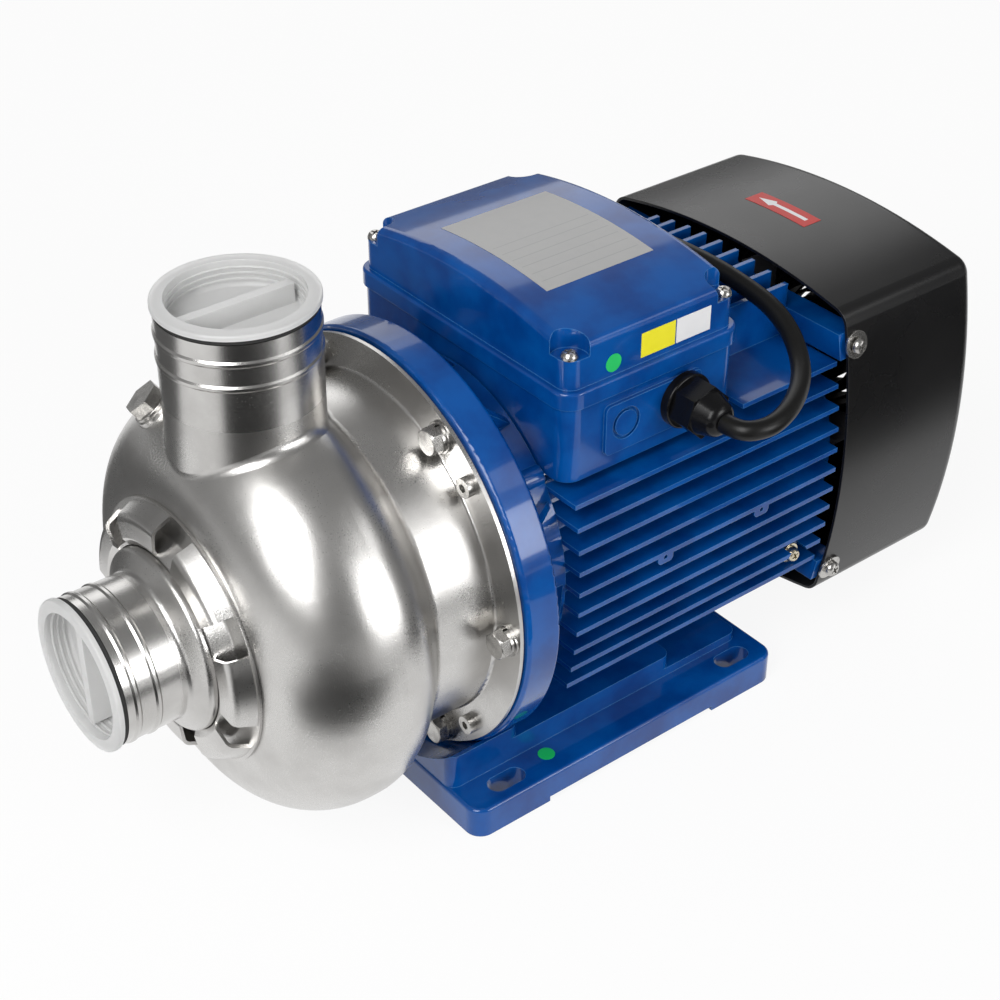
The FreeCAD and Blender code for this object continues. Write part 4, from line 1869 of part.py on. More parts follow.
# Middle line of the power cable in the pump's frame, from the gland over the fins and down to the coil.
CABLE_ROUTE = (
    (193.0, -113.6, 79.0),
    (193.2, -121.5, 79.0),
    (198.5, -128.0, 79.3),
    (210.5, -130.0, 79.6),
    (228.0, -124.0, 80.5),
    (245.0, -113.0, 82.0),
    (257.0, -100.0, 85.0),
    (265.0, -85.0, 90.5),
    (268.5, -68.0, 96.0),
    (269.0, -48.0, 99.0),
    (268.0, -26.0, 101.5),
    (266.0, -2.0, 102.3),
    (263.5, 22.0, 102.0),
    (260.5, 46.0, 100.5),
    (258.0, 69.0, 95.0),
    (256.0, 89.0, 83.0),
    (254.5, 104.0, 64.0),
    (254.0, 112.5, 40.0),
    (254.0, 115.0, 12.0),
    (254.0, 115.5, -18.0),
    (254.5, 117.0, -46.0),
    (255.5, 123.0, -73.0),
    (257.0, 135.0, -96.0),
    (258.5, 152.0, -111.5),
    (260.0, 172.0, -118.2),
    (260.0, 192.0, -118.2),
)


def tangent_path(points):
    """Straight runs joined by tangent arcs, each arc as large as its two runs allow, and the arcs' radii."""
    share = 0.45
    edges, radii = [], []
    last = points[0]
    for before, corner, after in zip(points, points[1:], points[2:]):
        back, ahead = before - corner, after - corner
        reach = share * min(back.Length, ahead.Length)
        half = back.getAngle(ahead) / 2
        back.normalize()
        ahead.normalize()
        start, end = corner + back * reach, corner + ahead * reach
        radius = reach * math.tan(half)
        middle = corner + (back + ahead).normalize() * (radius / math.sin(half) - radius)
        edges.append(Part.LineSegment(last, start).toShape())
        edges.append(Part.Arc(start, middle, end).toShape())
        radii.append(radius)
        last = end
    edges.append(Part.LineSegment(last, points[-1]).toShape())
    return edges, radii


def make_cable():
    """The power cable down to its coil, the coil of its put-away length, and the mains plug."""
    s = sizes
    points = [Vector(*point) for point in CABLE_ROUTE]
    edges, radii = tangent_path(points)
    path = Part.Wire(edges)
    profile = Part.Wire(Part.Circle(points[0], points[1] - points[0], number(s.cable_radius)).toShape())
    tube = doc.addObject("Part::Feature", "power_cable")
    tube.Shape = path.makePipeShell([profile], True, True)
    place(tube)
    keep(tube)
    section = math.pi * number(s.cable_radius) ** 2
    print(f"power cable: {path.Length:.1f} mm to the coil, volume share "
          f"{tube.Shape.Volume / section / path.Length:.4f}, arc radii", [round(radius) for radius in radii])

    coil = doc.addObject("Part::Cut", "cable_coil")
    for side, radius, prop in (("outside", s.coil_radius + s.cable_radius * 2.0, "Base"),
                               ("inside", s.coil_radius - s.cable_radius * 2.0, "Tool")):
        cylinder = doc.addObject("Part::Cylinder", f"cable_coil_{side}")
        bind(cylinder, "Radius", radius)
        bind(cylinder, "Height", s.cable_radius * 2.0 * s.coil_layers + s.rest_gap)
        setattr(coil, prop, cylinder)
    place(coil, s.coil_at, s.coil_y, -s.shaft_height)
    keep(coil)

    plug = new_body("mains_plug")
    body_end = s.mains_relief + s.mains_body
    revolve(plug, [
        (0.0, 0.0),
        (0.0, s.cable_radius),
        (s.mains_relief, s.mains_relief_radius),
        (s.mains_relief, s.mains_body_radius, 4.0),
        (body_end, s.mains_body_radius, 2.0),
        (body_end, 0.0),
    ])
    rods(plug, body_end - 1.0, s.mains_pin + 1.0,
         [(-s.mains_pin_gauge / 2, 0.0), (s.mains_pin_gauge / 2, 0.0)], s.mains_pin_radius)
    place(plug, s.coil_at - s.mains_relief + s.plug_lead, s.coil_y + s.coil_radius + s.cable_radius * 2.0 + s.mains_gap,
          s.mains_body_radius + s.rest_gap - s.shaft_height, turn=FreeCAD.Rotation(Vector(0, 0, 1), 180))
    return keep(plug)


def make_pump():
    """Every sub-part of the pump, from the suction port to the mains plug."""
    s = sizes
    make_casing()
    make_vent_plug("fill_plug", s.fill_angle)
    make_vent_plug("drain_plug", s.drain_angle)
    make_ports()
    make_stiffener()
    make_casing_fasteners()
    make_seal_plate()
    make_wet_rings()
    make_impeller()
    make_shaft_seal()
    make_shaft()
    make_bearings()
    make_bracket()
    make_housing()
    make_motor_inside()
    make_rear_shield()
    make_fan_cover()
    make_fan()
    make_terminal_box()
    make_terminal_cover()
    make_terminals()
    make_gland()
    make_base()
    make_cable()


def write_parts():
    """Check every object and write each sub-part to its own file."""
    doc.recompute()
    for item in doc.Objects:
        if "Invalid" in item.State or "Error" in item.State:
            raise RuntimeError(f"{item.Label} failed to build: {item.State}")
    for piece in SUBPARTS:
        if piece.Shape.isNull() or not piece.Shape.isValid():
            raise RuntimeError(f"{piece.Label} has no valid shape")
    os.makedirs("parts", exist_ok=True)
    for piece in SUBPARTS:
        piece.Shape.exportStep(f"parts/{piece.Label}.step")
    print(f"{len(SUBPARTS)} sub-parts written")


make_pump()
write_parts()
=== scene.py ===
"""Looks of a close coupled centrifugal pump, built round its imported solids.

The pump has a pressed stainless casing, a painted bracket, motor and foot, and a black sheet fan cover.
Lengths are metres in the frame of the solids: X runs along the shaft to the fan, Z is up from the ground.
"""

import logging
import math
from dataclasses import dataclass, field
from enum import Enum
from typing import Any, Iterable, Sequence, Union

import bmesh
import bpy
from mathutils import Matrix, Vector
from mathutils.bvhtree import BVHTree


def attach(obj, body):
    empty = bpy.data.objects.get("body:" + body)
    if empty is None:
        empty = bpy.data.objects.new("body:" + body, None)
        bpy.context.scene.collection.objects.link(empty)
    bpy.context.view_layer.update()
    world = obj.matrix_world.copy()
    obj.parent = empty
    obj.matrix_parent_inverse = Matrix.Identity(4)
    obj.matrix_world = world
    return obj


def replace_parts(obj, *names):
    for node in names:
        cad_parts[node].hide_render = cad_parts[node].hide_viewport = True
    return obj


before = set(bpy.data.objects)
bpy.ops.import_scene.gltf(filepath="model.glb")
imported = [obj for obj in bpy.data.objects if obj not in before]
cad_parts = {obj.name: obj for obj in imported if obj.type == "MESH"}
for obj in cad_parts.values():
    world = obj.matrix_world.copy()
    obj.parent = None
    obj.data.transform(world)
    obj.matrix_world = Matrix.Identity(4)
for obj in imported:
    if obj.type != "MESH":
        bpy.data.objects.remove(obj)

log = logging.getLogger("pump")

MM = 0.001
Colour = tuple[float, float, float]
Point = tuple[float, float, float]
Number = Union[float, "Wire"]

FIXED = "pump_frame"
SHAFT_HEIGHT = 123.4 * MM
PORT_AXIS = -162.6 * MM


class Facing(Enum):
    """Directions that a piece can face."""

    FRONT = (-1.0, 0.0, 0.0)
    UP = (0.0, 0.0, 1.0)
    LEFT = (0.0, 1.0, 0.0)
    RIGHT = (0.0, -1.0, 0.0)

    @property
    def vector(self) -> Vector:
        """The direction as a unit vector."""
        return Vector(self.value)


def spot(x: float, y: float, z: float) -> Any:
    """A field whose default is a place."""
    return field(default_factory=lambda: Vector((x, y, z)))


class Port(Enum):
    """The two ports of the casing."""

    SUCTION = "suction"
    DISCHARGE = "discharge"


class Wire:
    """An output of a node tree. Python operators combine those that are numbers."""

    def __init__(self, nodes: "Nodes", socket: bpy.types.NodeSocket) -> None:
        """Keep the socket and the tree it belongs to."""
        self.nodes = nodes
        self.socket = socket

    def __add__(self, other: Number) -> "Wire":
        """Sum of two numbers."""
        return self.nodes.maths("ADD", self, other)

    def __radd__(self, other: Number) -> "Wire":
        """Sum with a plain number in front."""
        return self.nodes.maths("ADD", other, self)

    def __sub__(self, other: Number) -> "Wire":
        """Difference of two numbers."""
        return self.nodes.maths("SUBTRACT", self, other)

    def __rsub__(self, other: Number) -> "Wire":
        """Difference with a plain number in front."""
        return self.nodes.maths("SUBTRACT", other, self)

    def __mul__(self, other: Number) -> "Wire":
        """Product of two numbers."""
        return self.nodes.maths("MULTIPLY", self, other)

    def __truediv__(self, other: Number) -> "Wire":
        """Quotient of two numbers."""
        return self.nodes.maths("DIVIDE", self, other)

    def __pow__(self, other: Number) -> "Wire":
        """Power of a number."""
        return self.nodes.maths("POWER", self, other)

    def smooth(self, low: float, high: float) -> "Wire":
        """Smooth step from 0 at low to 1 at high."""
        return self.nodes.node("ShaderNodeMapRange", {"interpolation_type": "SMOOTHSTEP"},
                               {"Value": self, "From Min": low, "From Max": high})


class Nodes:
    """A node tree that code builds."""

    def __init__(self, tree: bpy.types.NodeTree) -> None:
        """Keep the tree."""
        self.tree = tree

    def node(self, kind: str, settings: dict[str, Any] | None = None,
             sockets: dict[Any, Any] | None = None, output: Any = 0) -> Wire | None:
        """Add a node.

        Args:
            kind: type of the node.
            settings: properties of the node, set before its sockets.
            sockets: values, wires or lists of wires for its inputs, by name or place.
            output: name or place of the output that is wanted.

        Returns:
            The wanted output, or None if the node has none.
        """
        made = self.tree.nodes.new(kind)
        for key, value in (settings or {}).items():
            setattr(made, key, value)
        for key, value in (sockets or {}).items():
            for one in value if isinstance(value, list) else [value]:
                if isinstance(one, Wire):
                    self.tree.links.new(one.socket, made.inputs[key])
                else:
                    made.inputs[key].default_value = one
        return Wire(self, made.outputs[output]) if made.outputs else None

    def maths(self, operation: str, *values: Number) -> Wire:
        """Add a Math node over numbers and wires."""
        return self.node("ShaderNodeMath", {"operation": operation}, dict(enumerate(values)))

    def vectors(self, operation: str, *values: Any, output: Any = 0) -> Wire:
        """Add a Vector Math node over vectors and wires."""
        return self.node("ShaderNodeVectorMath", {"operation": operation}, dict(enumerate(values)), output)


class Sheet(Nodes):
    """The node tree of one material."""

    def __init__(self, name: str, owner: Any = None) -> None:
        """Start a material with an empty tree.

        Args:
            name: name of the material.
            owner: a world whose tree is built instead.
        """
        self.material = owner if owner is not None else bpy.data.materials.new(name)
        self.material.use_nodes = True
        super().__init__(self.material.node_tree)
        self.tree.nodes.clear()

    def coordinates(self) -> Wire:
        """Object coordinates, which are metres in the frame of the solids."""
        return self.node("ShaderNodeTexCoord", output="Object")

    def along(self, axis: str) -> Wire:
        """One of the object coordinates X, Y and Z, in metres."""
        return self.node("ShaderNodeSeparateXYZ", sockets={0: self.coordinates()}, output=axis)

    def noise(self, size: float, detail: float = 2.0, stretch: Point = (1.0, 1.0, 1.0)) -> Wire:
        """Noise with spots of a real size.

        Args:
            size: size of its spots in metres.
            detail: finer layers on top.
            stretch: share of the size's frequency along each axis.

        Returns:
            A number from 0 to 1.
        """
        placed = self.node("ShaderNodeMapping", sockets={"Vector": self.coordinates(), "Scale": stretch})
        return self.node("ShaderNodeTexNoise",
                         sockets={"Vector": placed, "Scale": 1.0 / size, "Detail": detail})

    def blend(self, share: Number, first: Any, second: Any) -> Wire:
        """Mix two colours.

        Args:
            share: share of the second colour.
            first: colour or wire at 0.
            second: colour or wire at 1.

        Returns:
            The mixed colour.
        """
        ends = {6: first, 7: second}
        ends = {key: value if isinstance(value, Wire) else (*value, 1.0) for key, value in ends.items()}
        return self.node("ShaderNodeMix", {"data_type": "RGBA"}, {0: share, **ends}, output=2)

    def bump(self, height: Wire, depth: float, under: Wire | None = None) -> Wire:
        """Relief of a surface.

        Args:
            height: relief from 0 to 1.
            depth: depth of the relief in metres.
            under: normal that the relief starts from.

        Returns:
            The normal.
        """
        sockets = {"Height": height, "Distance": depth, "Strength": 1.0}
        if under is not None:
            sockets["Normal"] = under
        return self.node("ShaderNodeBump", sockets=sockets)

    def soft_edges(self, radius: float) -> Wire:
        """Normal that rolls over sharp edges with a radius in metres."""
        return self.node("ShaderNodeBevel", {"samples": 6}, {"Radius": radius})

    def edges(self, radius: float, low: float = 0.02, high: float = 0.2) -> Wire:
        """Mask of sharp edges.

        Args:
            radius: reach of the mask in metres.
            low: turn of the normal at which it starts.
            high: turn of the normal at which it is full.

        Returns:
            A number from 0 to 1.
        """
        flat = self.node("ShaderNodeNewGeometry", output="Normal")
        likeness = self.vectors("DOT_PRODUCT", self.soft_edges(radius), flat, output="Value")
        return (1.0 - likeness).smooth(low, high)

    def surface(self, **sockets: Any) -> bpy.types.Material:
        """Finish the material with its surface.

        Args:
            sockets: inputs of the surface, with underscores for spaces.

        Returns:
            The finished material.
        """
        inputs = {key.replace("_", " "): value for key, value in sockets.items()}
        for key in ("Base Color", "Coat Tint", "Emission Color"):
            if key in inputs and not isinstance(inputs[key], Wire):
                inputs[key] = (*inputs[key], 1.0)
        shader = self.node("ShaderNodeBsdfPrincipled", sockets=inputs)
        self.node("ShaderNodeOutputMaterial", sockets={"Surface": shader}, output=None)
        return self.material


@dataclass(frozen=True)
class PressedSteel:
    """Pickled stainless sheet: satin, with a fine bright grain."""

    name: str = "pressed_steel"
    colour: Colour = (0.66, 0.65, 0.635)
    shade: Colour = (0.50, 0.49, 0.475)
    grain: float = 0.70 * MM
    relief: float = 0.088 * MM
    rough: float = 0.29
    spread: float = 0.10
    cloud: float = 34 * MM
    stretch: Point = (1.0, 1.0, 1.0)

    def make(self) -> bpy.types.Material:
        """Build the material.

        Returns:
            The material.
        """
        sheet = Sheet(self.name)
        cloud = sheet.noise(self.cloud, 4.0)
        grain = sheet.noise(self.grain, 2.0, self.stretch)
        fine = sheet.noise(self.grain * 0.45, 1.0, self.stretch)
        colour = sheet.blend(cloud.smooth(0.35, 0.75) * 0.7 + grain * 0.3, self.colour, self.shade)
        rough = self.rough + (cloud - 0.5) * self.spread + (grain - 0.5) * self.spread
        return sheet.surface(Base_Color=colour, Metallic=1.0, Roughness=rough,
                             Normal=sheet.bump(grain * 0.7 + fine * 0.3, self.relief))


@dataclass(frozen=True)
class CastPaint:
    """Glossy paint over a casting, with a slight orange peel, and sharp edges made paler both for wear and as
    a painted edge highlight.
    """

    name: str = "cast_paint"
    colour: Colour = (0.0008, 0.084, 0.350)
    deep: Colour = (0.0003, 0.044, 0.225)
    wear_and_edge_highlight: Colour = (0.060, 0.250, 0.560)
    peel: float = 3.2 * MM
    relief: float = 0.045 * MM
    casting: float = 11 * MM
    sink: float = 0.16 * MM
    cloud: float = 26 * MM
    edge: float = 0.9 * MM
    rough: float = 0.24
    coat: float = 0.62
    coat_rough: float = 0.07
    specular: float = 0.15

    def make(self) -> bpy.types.Material:
        """Build the material.

        Returns:
            The material.
        """
        sheet = Sheet(self.name)
        peel = sheet.noise(self.peel, 2.0)
        wave = sheet.noise(self.casting, 3.0)
        spots = sheet.noise(self.cloud, 5.0)
        edge = sheet.edges(self.edge)
        body = sheet.blend(spots.smooth(0.30, 0.72), self.colour, self.deep)
        # Sharp edges are blended towards a paler blue: part wear, part a painted edge highlight.
        colour = sheet.blend(edge * 0.65, body, self.wear_and_edge_highlight)
        normal = sheet.bump(peel * 0.5 + wave * (0.5 * self.sink / self.relief), self.relief,
                            sheet.soft_edges(self.edge * 0.7))
        return sheet.surface(Base_Color=colour, Roughness=self.rough + (spots - 0.5) * 0.12, Normal=normal,
                             Coat_Weight=self.coat, Coat_Roughness=self.coat_rough,
                             Specular_IOR_Level=self.specular)


@dataclass(frozen=True)
class SheetPaint:
    """Semi gloss powder paint on pressed sheet."""

    name: str = "sheet_paint"
    colour: Colour = (0.0045, 0.0045, 0.0050)
    wear_and_edge_highlight: Colour = (0.030, 0.028, 0.026)
    peel: float = 0.9 * MM
    relief: float = 0.012 * MM
    cloud: float = 40 * MM
    edge: float = 1.0 * MM
    rough: float = 0.28
    matt: float = 0.55

    def make(self) -> bpy.types.Material:
        """Build the material, matt on the sides that face the shaft.

        Returns:
            The material.
        """
        sheet = Sheet(self.name)
        peel = sheet.noise(self.peel, 2.0)
        cloud = sheet.noise(self.cloud, 4.0)
        facing = sheet.node("ShaderNodeTexCoord", output="Normal")
        spoke = sheet.vectors("SUBTRACT", sheet.coordinates(), (0.0, 0.0, SHAFT_HEIGHT))
        to_shaft = sheet.vectors("MULTIPLY", spoke, (0.0, -1.0, -1.0))
        inside = sheet.vectors("DOT_PRODUCT", to_shaft, facing, output="Value").smooth(5 * MM, 30 * MM)
        # Sharp edges are blended towards a paler black: part wear, part a painted edge highlight. The cloud
        # is random tone.
        colour = sheet.blend(sheet.edges(self.edge) * 0.7 + cloud * 0.08, self.colour, self.wear_and_edge_highlight)
        rough = inside * self.matt + self.rough + (cloud - 0.5) * 0.10
        return sheet.surface(Base_Color=colour, Roughness=rough,
                             Normal=sheet.bump(peel, self.relief, sheet.soft_edges(self.edge * 0.5)))


@dataclass(frozen=True)
class Moulded:
    """Moulded plastic or rubber."""

    name: str
    colour: Colour
    pale: Colour
    rough: float = 0.4
    grain: float = 0.8 * MM
    relief: float = 0.012 * MM
    edge: float = 0.5 * MM
    subsurface: float = 0.0
    depth: float = 4.0 * MM
    clear: float = 0.0
    refraction: float = 1.35
    specular: float = 0.5
    cloud: float = 18 * MM

    def make(self) -> bpy.types.Material:
        """Build the material.

        Returns:
            The material.
        """
        sheet = Sheet(self.name)
        grain = sheet.noise(self.grain, 2.0)
        cloud = sheet.noise(self.cloud, 4.0)
        # Sharp edges are blended towards the pale colour: part wear, part a painted edge highlight. The cloud
        # is random tone.
        colour = sheet.blend(sheet.edges(self.edge) * 0.5 + cloud * 0.25, self.colour, self.pale)
        sockets: dict[str, Any] = {}
        if self.subsurface > 0:
            sockets.update(Subsurface_Weight=self.subsurface, Subsurface_Radius=(self.depth,) * 3,
                           Subsurface_Scale=1.0)
        if self.clear > 0:
            sockets.update(Transmission_Weight=self.clear, IOR=self.refraction)
        return sheet.surface(Base_Color=colour, Roughness=self.rough + (cloud - 0.5) * 0.12,
                             Normal=sheet.bump(grain, self.relief, sheet.soft_edges(self.edge * 0.6)),
                             Specular_IOR_Level=self.specular, **sockets)


@dataclass(frozen=True)
class Machined:
    """Turned or plated metal with fine scratches along or round it."""

    name: str
    colour: Colour
    shade: Colour
    rough: float = 0.26
    scratch: float = 0.35 * MM
    stretch: Point = (1.0, 1.0, 1.0)
    relief: float = 0.008 * MM
    cloud: float = 6 * MM
    edge: float = 0.3 * MM

    def make(self) -> bpy.types.Material:
        """Build the material.

        Returns:
            The material.
        """
        sheet = Sheet(self.name)
        scratch = sheet.noise(self.scratch, 3.0, self.stretch)
        cloud = sheet.noise(self.cloud, 4.0)
        colour = sheet.blend(cloud.smooth(0.4, 0.75), self.colour, self.shade)
        return sheet.surface(Base_Color=colour, Metallic=1.0,
                             Roughness=self.rough + (scratch - 0.5) * 0.14 + (cloud - 0.5) * 0.10,
                             Normal=sheet.bump(scratch, self.relief, sheet.soft_edges(self.edge)))


@dataclass(frozen=True)
class Laminated:
    """Stack of thin stampings, or windings: fine lines across an axis."""

    name: str
    colour: Colour
    groove: Colour
    axis: str
    pitch: float
    rough: float = 0.5
    cloud: float = 5 * MM
    relief: float = 0.1 * MM

    def make(self) -> bpy.types.Material:
        """Build the material.

        Returns:
            The material.
        """
        sheet = Sheet(self.name)
        turns = sheet.along(self.axis) / self.pitch
        wave = sheet.maths("PINGPONG", turns, 0.5) * 2.0
        cloud = sheet.noise(self.cloud, 3.0)
        line = (wave + (cloud - 0.5) * 0.3).smooth(0.1, 0.5)
        return sheet.surface(Base_Color=sheet.blend(line, self.groove, self.colour), Metallic=1.0,
                             Roughness=self.rough + (cloud - 0.5) * 0.2,
                             Normal=sheet.bump(line, self.relief))


@dataclass(frozen=True)
class Film:
    """Printed film or paper, with thin rules over its own map where it has any."""

    name: str
    colour: Colour
    tint: Colour
    rough: float = 0.35
    rows: int = 0
    rule: Colour = (0.30, 0.30, 0.31)
    cloud: float = 7 * MM
    relief: float = 0.01 * MM

    def make(self) -> bpy.types.Material:
        """Build the material.

        Returns:
            The material.
        """
        sheet = Sheet(self.name)
        cloud = sheet.noise(self.cloud, 3.0)
        colour = sheet.blend(cloud, self.colour, self.tint)
        if self.rows:
            place = sheet.node("ShaderNodeUVMap", {"uv_map": "film"})
            across = sheet.node("ShaderNodeSeparateXYZ", sockets={0: place}, output="X")
            down = sheet.node("ShaderNodeSeparateXYZ", sockets={0: place}, output="Y")
            line = sheet.maths("PINGPONG", down * self.rows, 0.5)
            inside = (0.5 - sheet.maths("ABSOLUTE", across - 0.5)).smooth(0.045, 0.05)
            lower = (0.62 - down).smooth(0.0, 0.01) * (down - 0.06).smooth(0.0, 0.01)
            mask = (0.045 - line).smooth(0.0, 0.02) * inside * lower
            colour = sheet.blend(mask * 0.8, colour, self.rule)
        return sheet.surface(Base_Color=colour, Roughness=self.rough + (cloud - 0.5) * 0.1,
                             Normal=sheet.bump(cloud, self.relief))


class Finish(Enum):
    """Every finish of the pump."""

    STEEL = PressedSteel()
    SLEEVE = PressedSteel("rolled_steel", rough=0.24, grain=0.45 * MM, relief=0.024 * MM)
    WET_STEEL = PressedSteel("wet_end_steel", (0.70, 0.70, 0.69), (0.55, 0.55, 0.54), rough=0.32)
    BLUE = CastPaint()
    BLACK = SheetPaint()
    CLEAR_PLASTIC = Moulded("natural_plastic", (0.86, 0.86, 0.855), (0.92, 0.92, 0.915), 0.34, subsurface=0.2,
                            clear=0.34)
    GLAND = Moulded("gland_plastic", (0.0040, 0.0040, 0.0046), (0.012, 0.012, 0.013), 0.22, specular=0.2)
    RUBBER = Moulded("black_rubber", (0.0035, 0.0035, 0.0035), (0.010, 0.010, 0.010), 0.36, specular=0.25)
    CABLE = Moulded("cable_sheath", (0.0055, 0.0054, 0.0052), (0.012, 0.0118, 0.0115), 0.36, 1.4 * MM,
                    0.03 * MM, specular=0.25)
    # Near black, matt and with little specular: painted shade for the inside of the fan cover behind its
    # slots.
    SHADE_GUARD = Moulded("painted_shade_guard", (0.0030, 0.0030, 0.0032), (0.006, 0.006, 0.006), 0.75, specular=0.12)
    FAN = Moulded("fan_plastic", (0.020, 0.020, 0.022), (0.050, 0.050, 0.052), 0.5)
    BLOCK = Moulded("block_plastic", (0.30, 0.29, 0.26), (0.42, 0.41, 0.38), 0.5)
    CERAMIC = Moulded("seal_ceramic", (0.62, 0.58, 0.50), (0.72, 0.69, 0.62), 0.25)
    CARBON = Moulded("seal_carbon", (0.018, 0.018, 0.020), (0.040, 0.040, 0.042), 0.35)
    ZINC = Machined("zinc_plate", (0.52, 0.51, 0.49), (0.32, 0.31, 0.30), 0.27)
    BRASS = Machined("plated_brass", (0.68, 0.62, 0.48), (0.52, 0.46, 0.34), 0.26)
    SHAFT = Machined("ground_steel", (0.60, 0.60, 0.60), (0.50, 0.50, 0.50), 0.22, stretch=(1.0, 0.1, 0.1))
    BEARING = Machined("bearing_steel", (0.68, 0.68, 0.69), (0.58, 0.58, 0.60), 0.12)
    LAMINATION = Laminated("laminations", (0.26, 0.26, 0.27), (0.08, 0.08, 0.08), "X", 1.0 * MM)
    WINDING = Laminated("varnished_copper", (0.50, 0.20, 0.075), (0.16, 0.05, 0.02), "X", 1.6 * MM, 0.3)
    LABEL = Film("label_foil", (0.38, 0.38, 0.38), (0.43, 0.43, 0.425), 0.40, rows=11)
    GREEN_DOT = Film("green_film", (0.005, 0.50, 0.10), (0.010, 0.60, 0.14), 0.45)
    YELLOW = Film("yellow_film", (0.82, 0.74, 0.01), (0.90, 0.82, 0.02), 0.40)
    WHITE = Film("white_film", (0.76, 0.76, 0.77), (0.82, 0.82, 0.83), 0.40)
    RED = Film("red_film", (0.50, 0.014, 0.010), (0.58, 0.024, 0.016), 0.42)

    def material(self) -> bpy.types.Material:
        """The finish's material, built the first time it is asked for."""
        found = bpy.data.materials.get(self.value.name)
        return found if found is not None else self.value.make()


def dress(finish: Finish, *nodes: str) -> None:
    """Give solids their finish.

    Args:
        finish: the finish.
        nodes: names of the solids.
    """
    material = finish.material()
    for name in nodes:
        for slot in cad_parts[name].material_slots:
            slot.material = material
    log.info("%s on %d solids", finish.value.name, len(nodes))


def shown(name: str, mesh: bpy.types.Mesh, body: str, finish: Finish,
          smooth: float = 35.0) -> bpy.types.Object:
    """Add a finished mesh to the scene as a piece.

    Args:
        name: name of the piece.
        mesh: its mesh, already in place.
        body: body that it rides on.
        finish: its finish.
        smooth: turn between faces, in degrees, over which an edge is sharp.

    Returns:
        The piece.
    """
    mesh.materials.clear()
    mesh.materials.append(finish.material())
    mesh.shade_smooth()
    mesh.set_sharp_from_angle(angle=math.radians(smooth))
    piece = bpy.data.objects.new(name, mesh)
    bpy.context.scene.collection.objects.link(piece)
    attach(piece, body)
    log.info("%s has %d faces", name, len(mesh.polygons))
    return piece


def mesh_from(name: str, work: bmesh.types.BMesh) -> bpy.types.Mesh:
    """Turn a working mesh into a clean one with its faces outward.

    Args:
        name: name of the mesh.
        work: the working mesh, which is freed.

    Returns:
        The mesh.
    """
    bmesh.ops.remove_doubles(work, verts=work.verts, dist=0.005 * MM)
    bmesh.ops.recalc_face_normals(work, faces=work.faces)
    mesh = bpy.data.meshes.new(name)
    work.to_mesh(mesh)
    work.free()
    return mesh


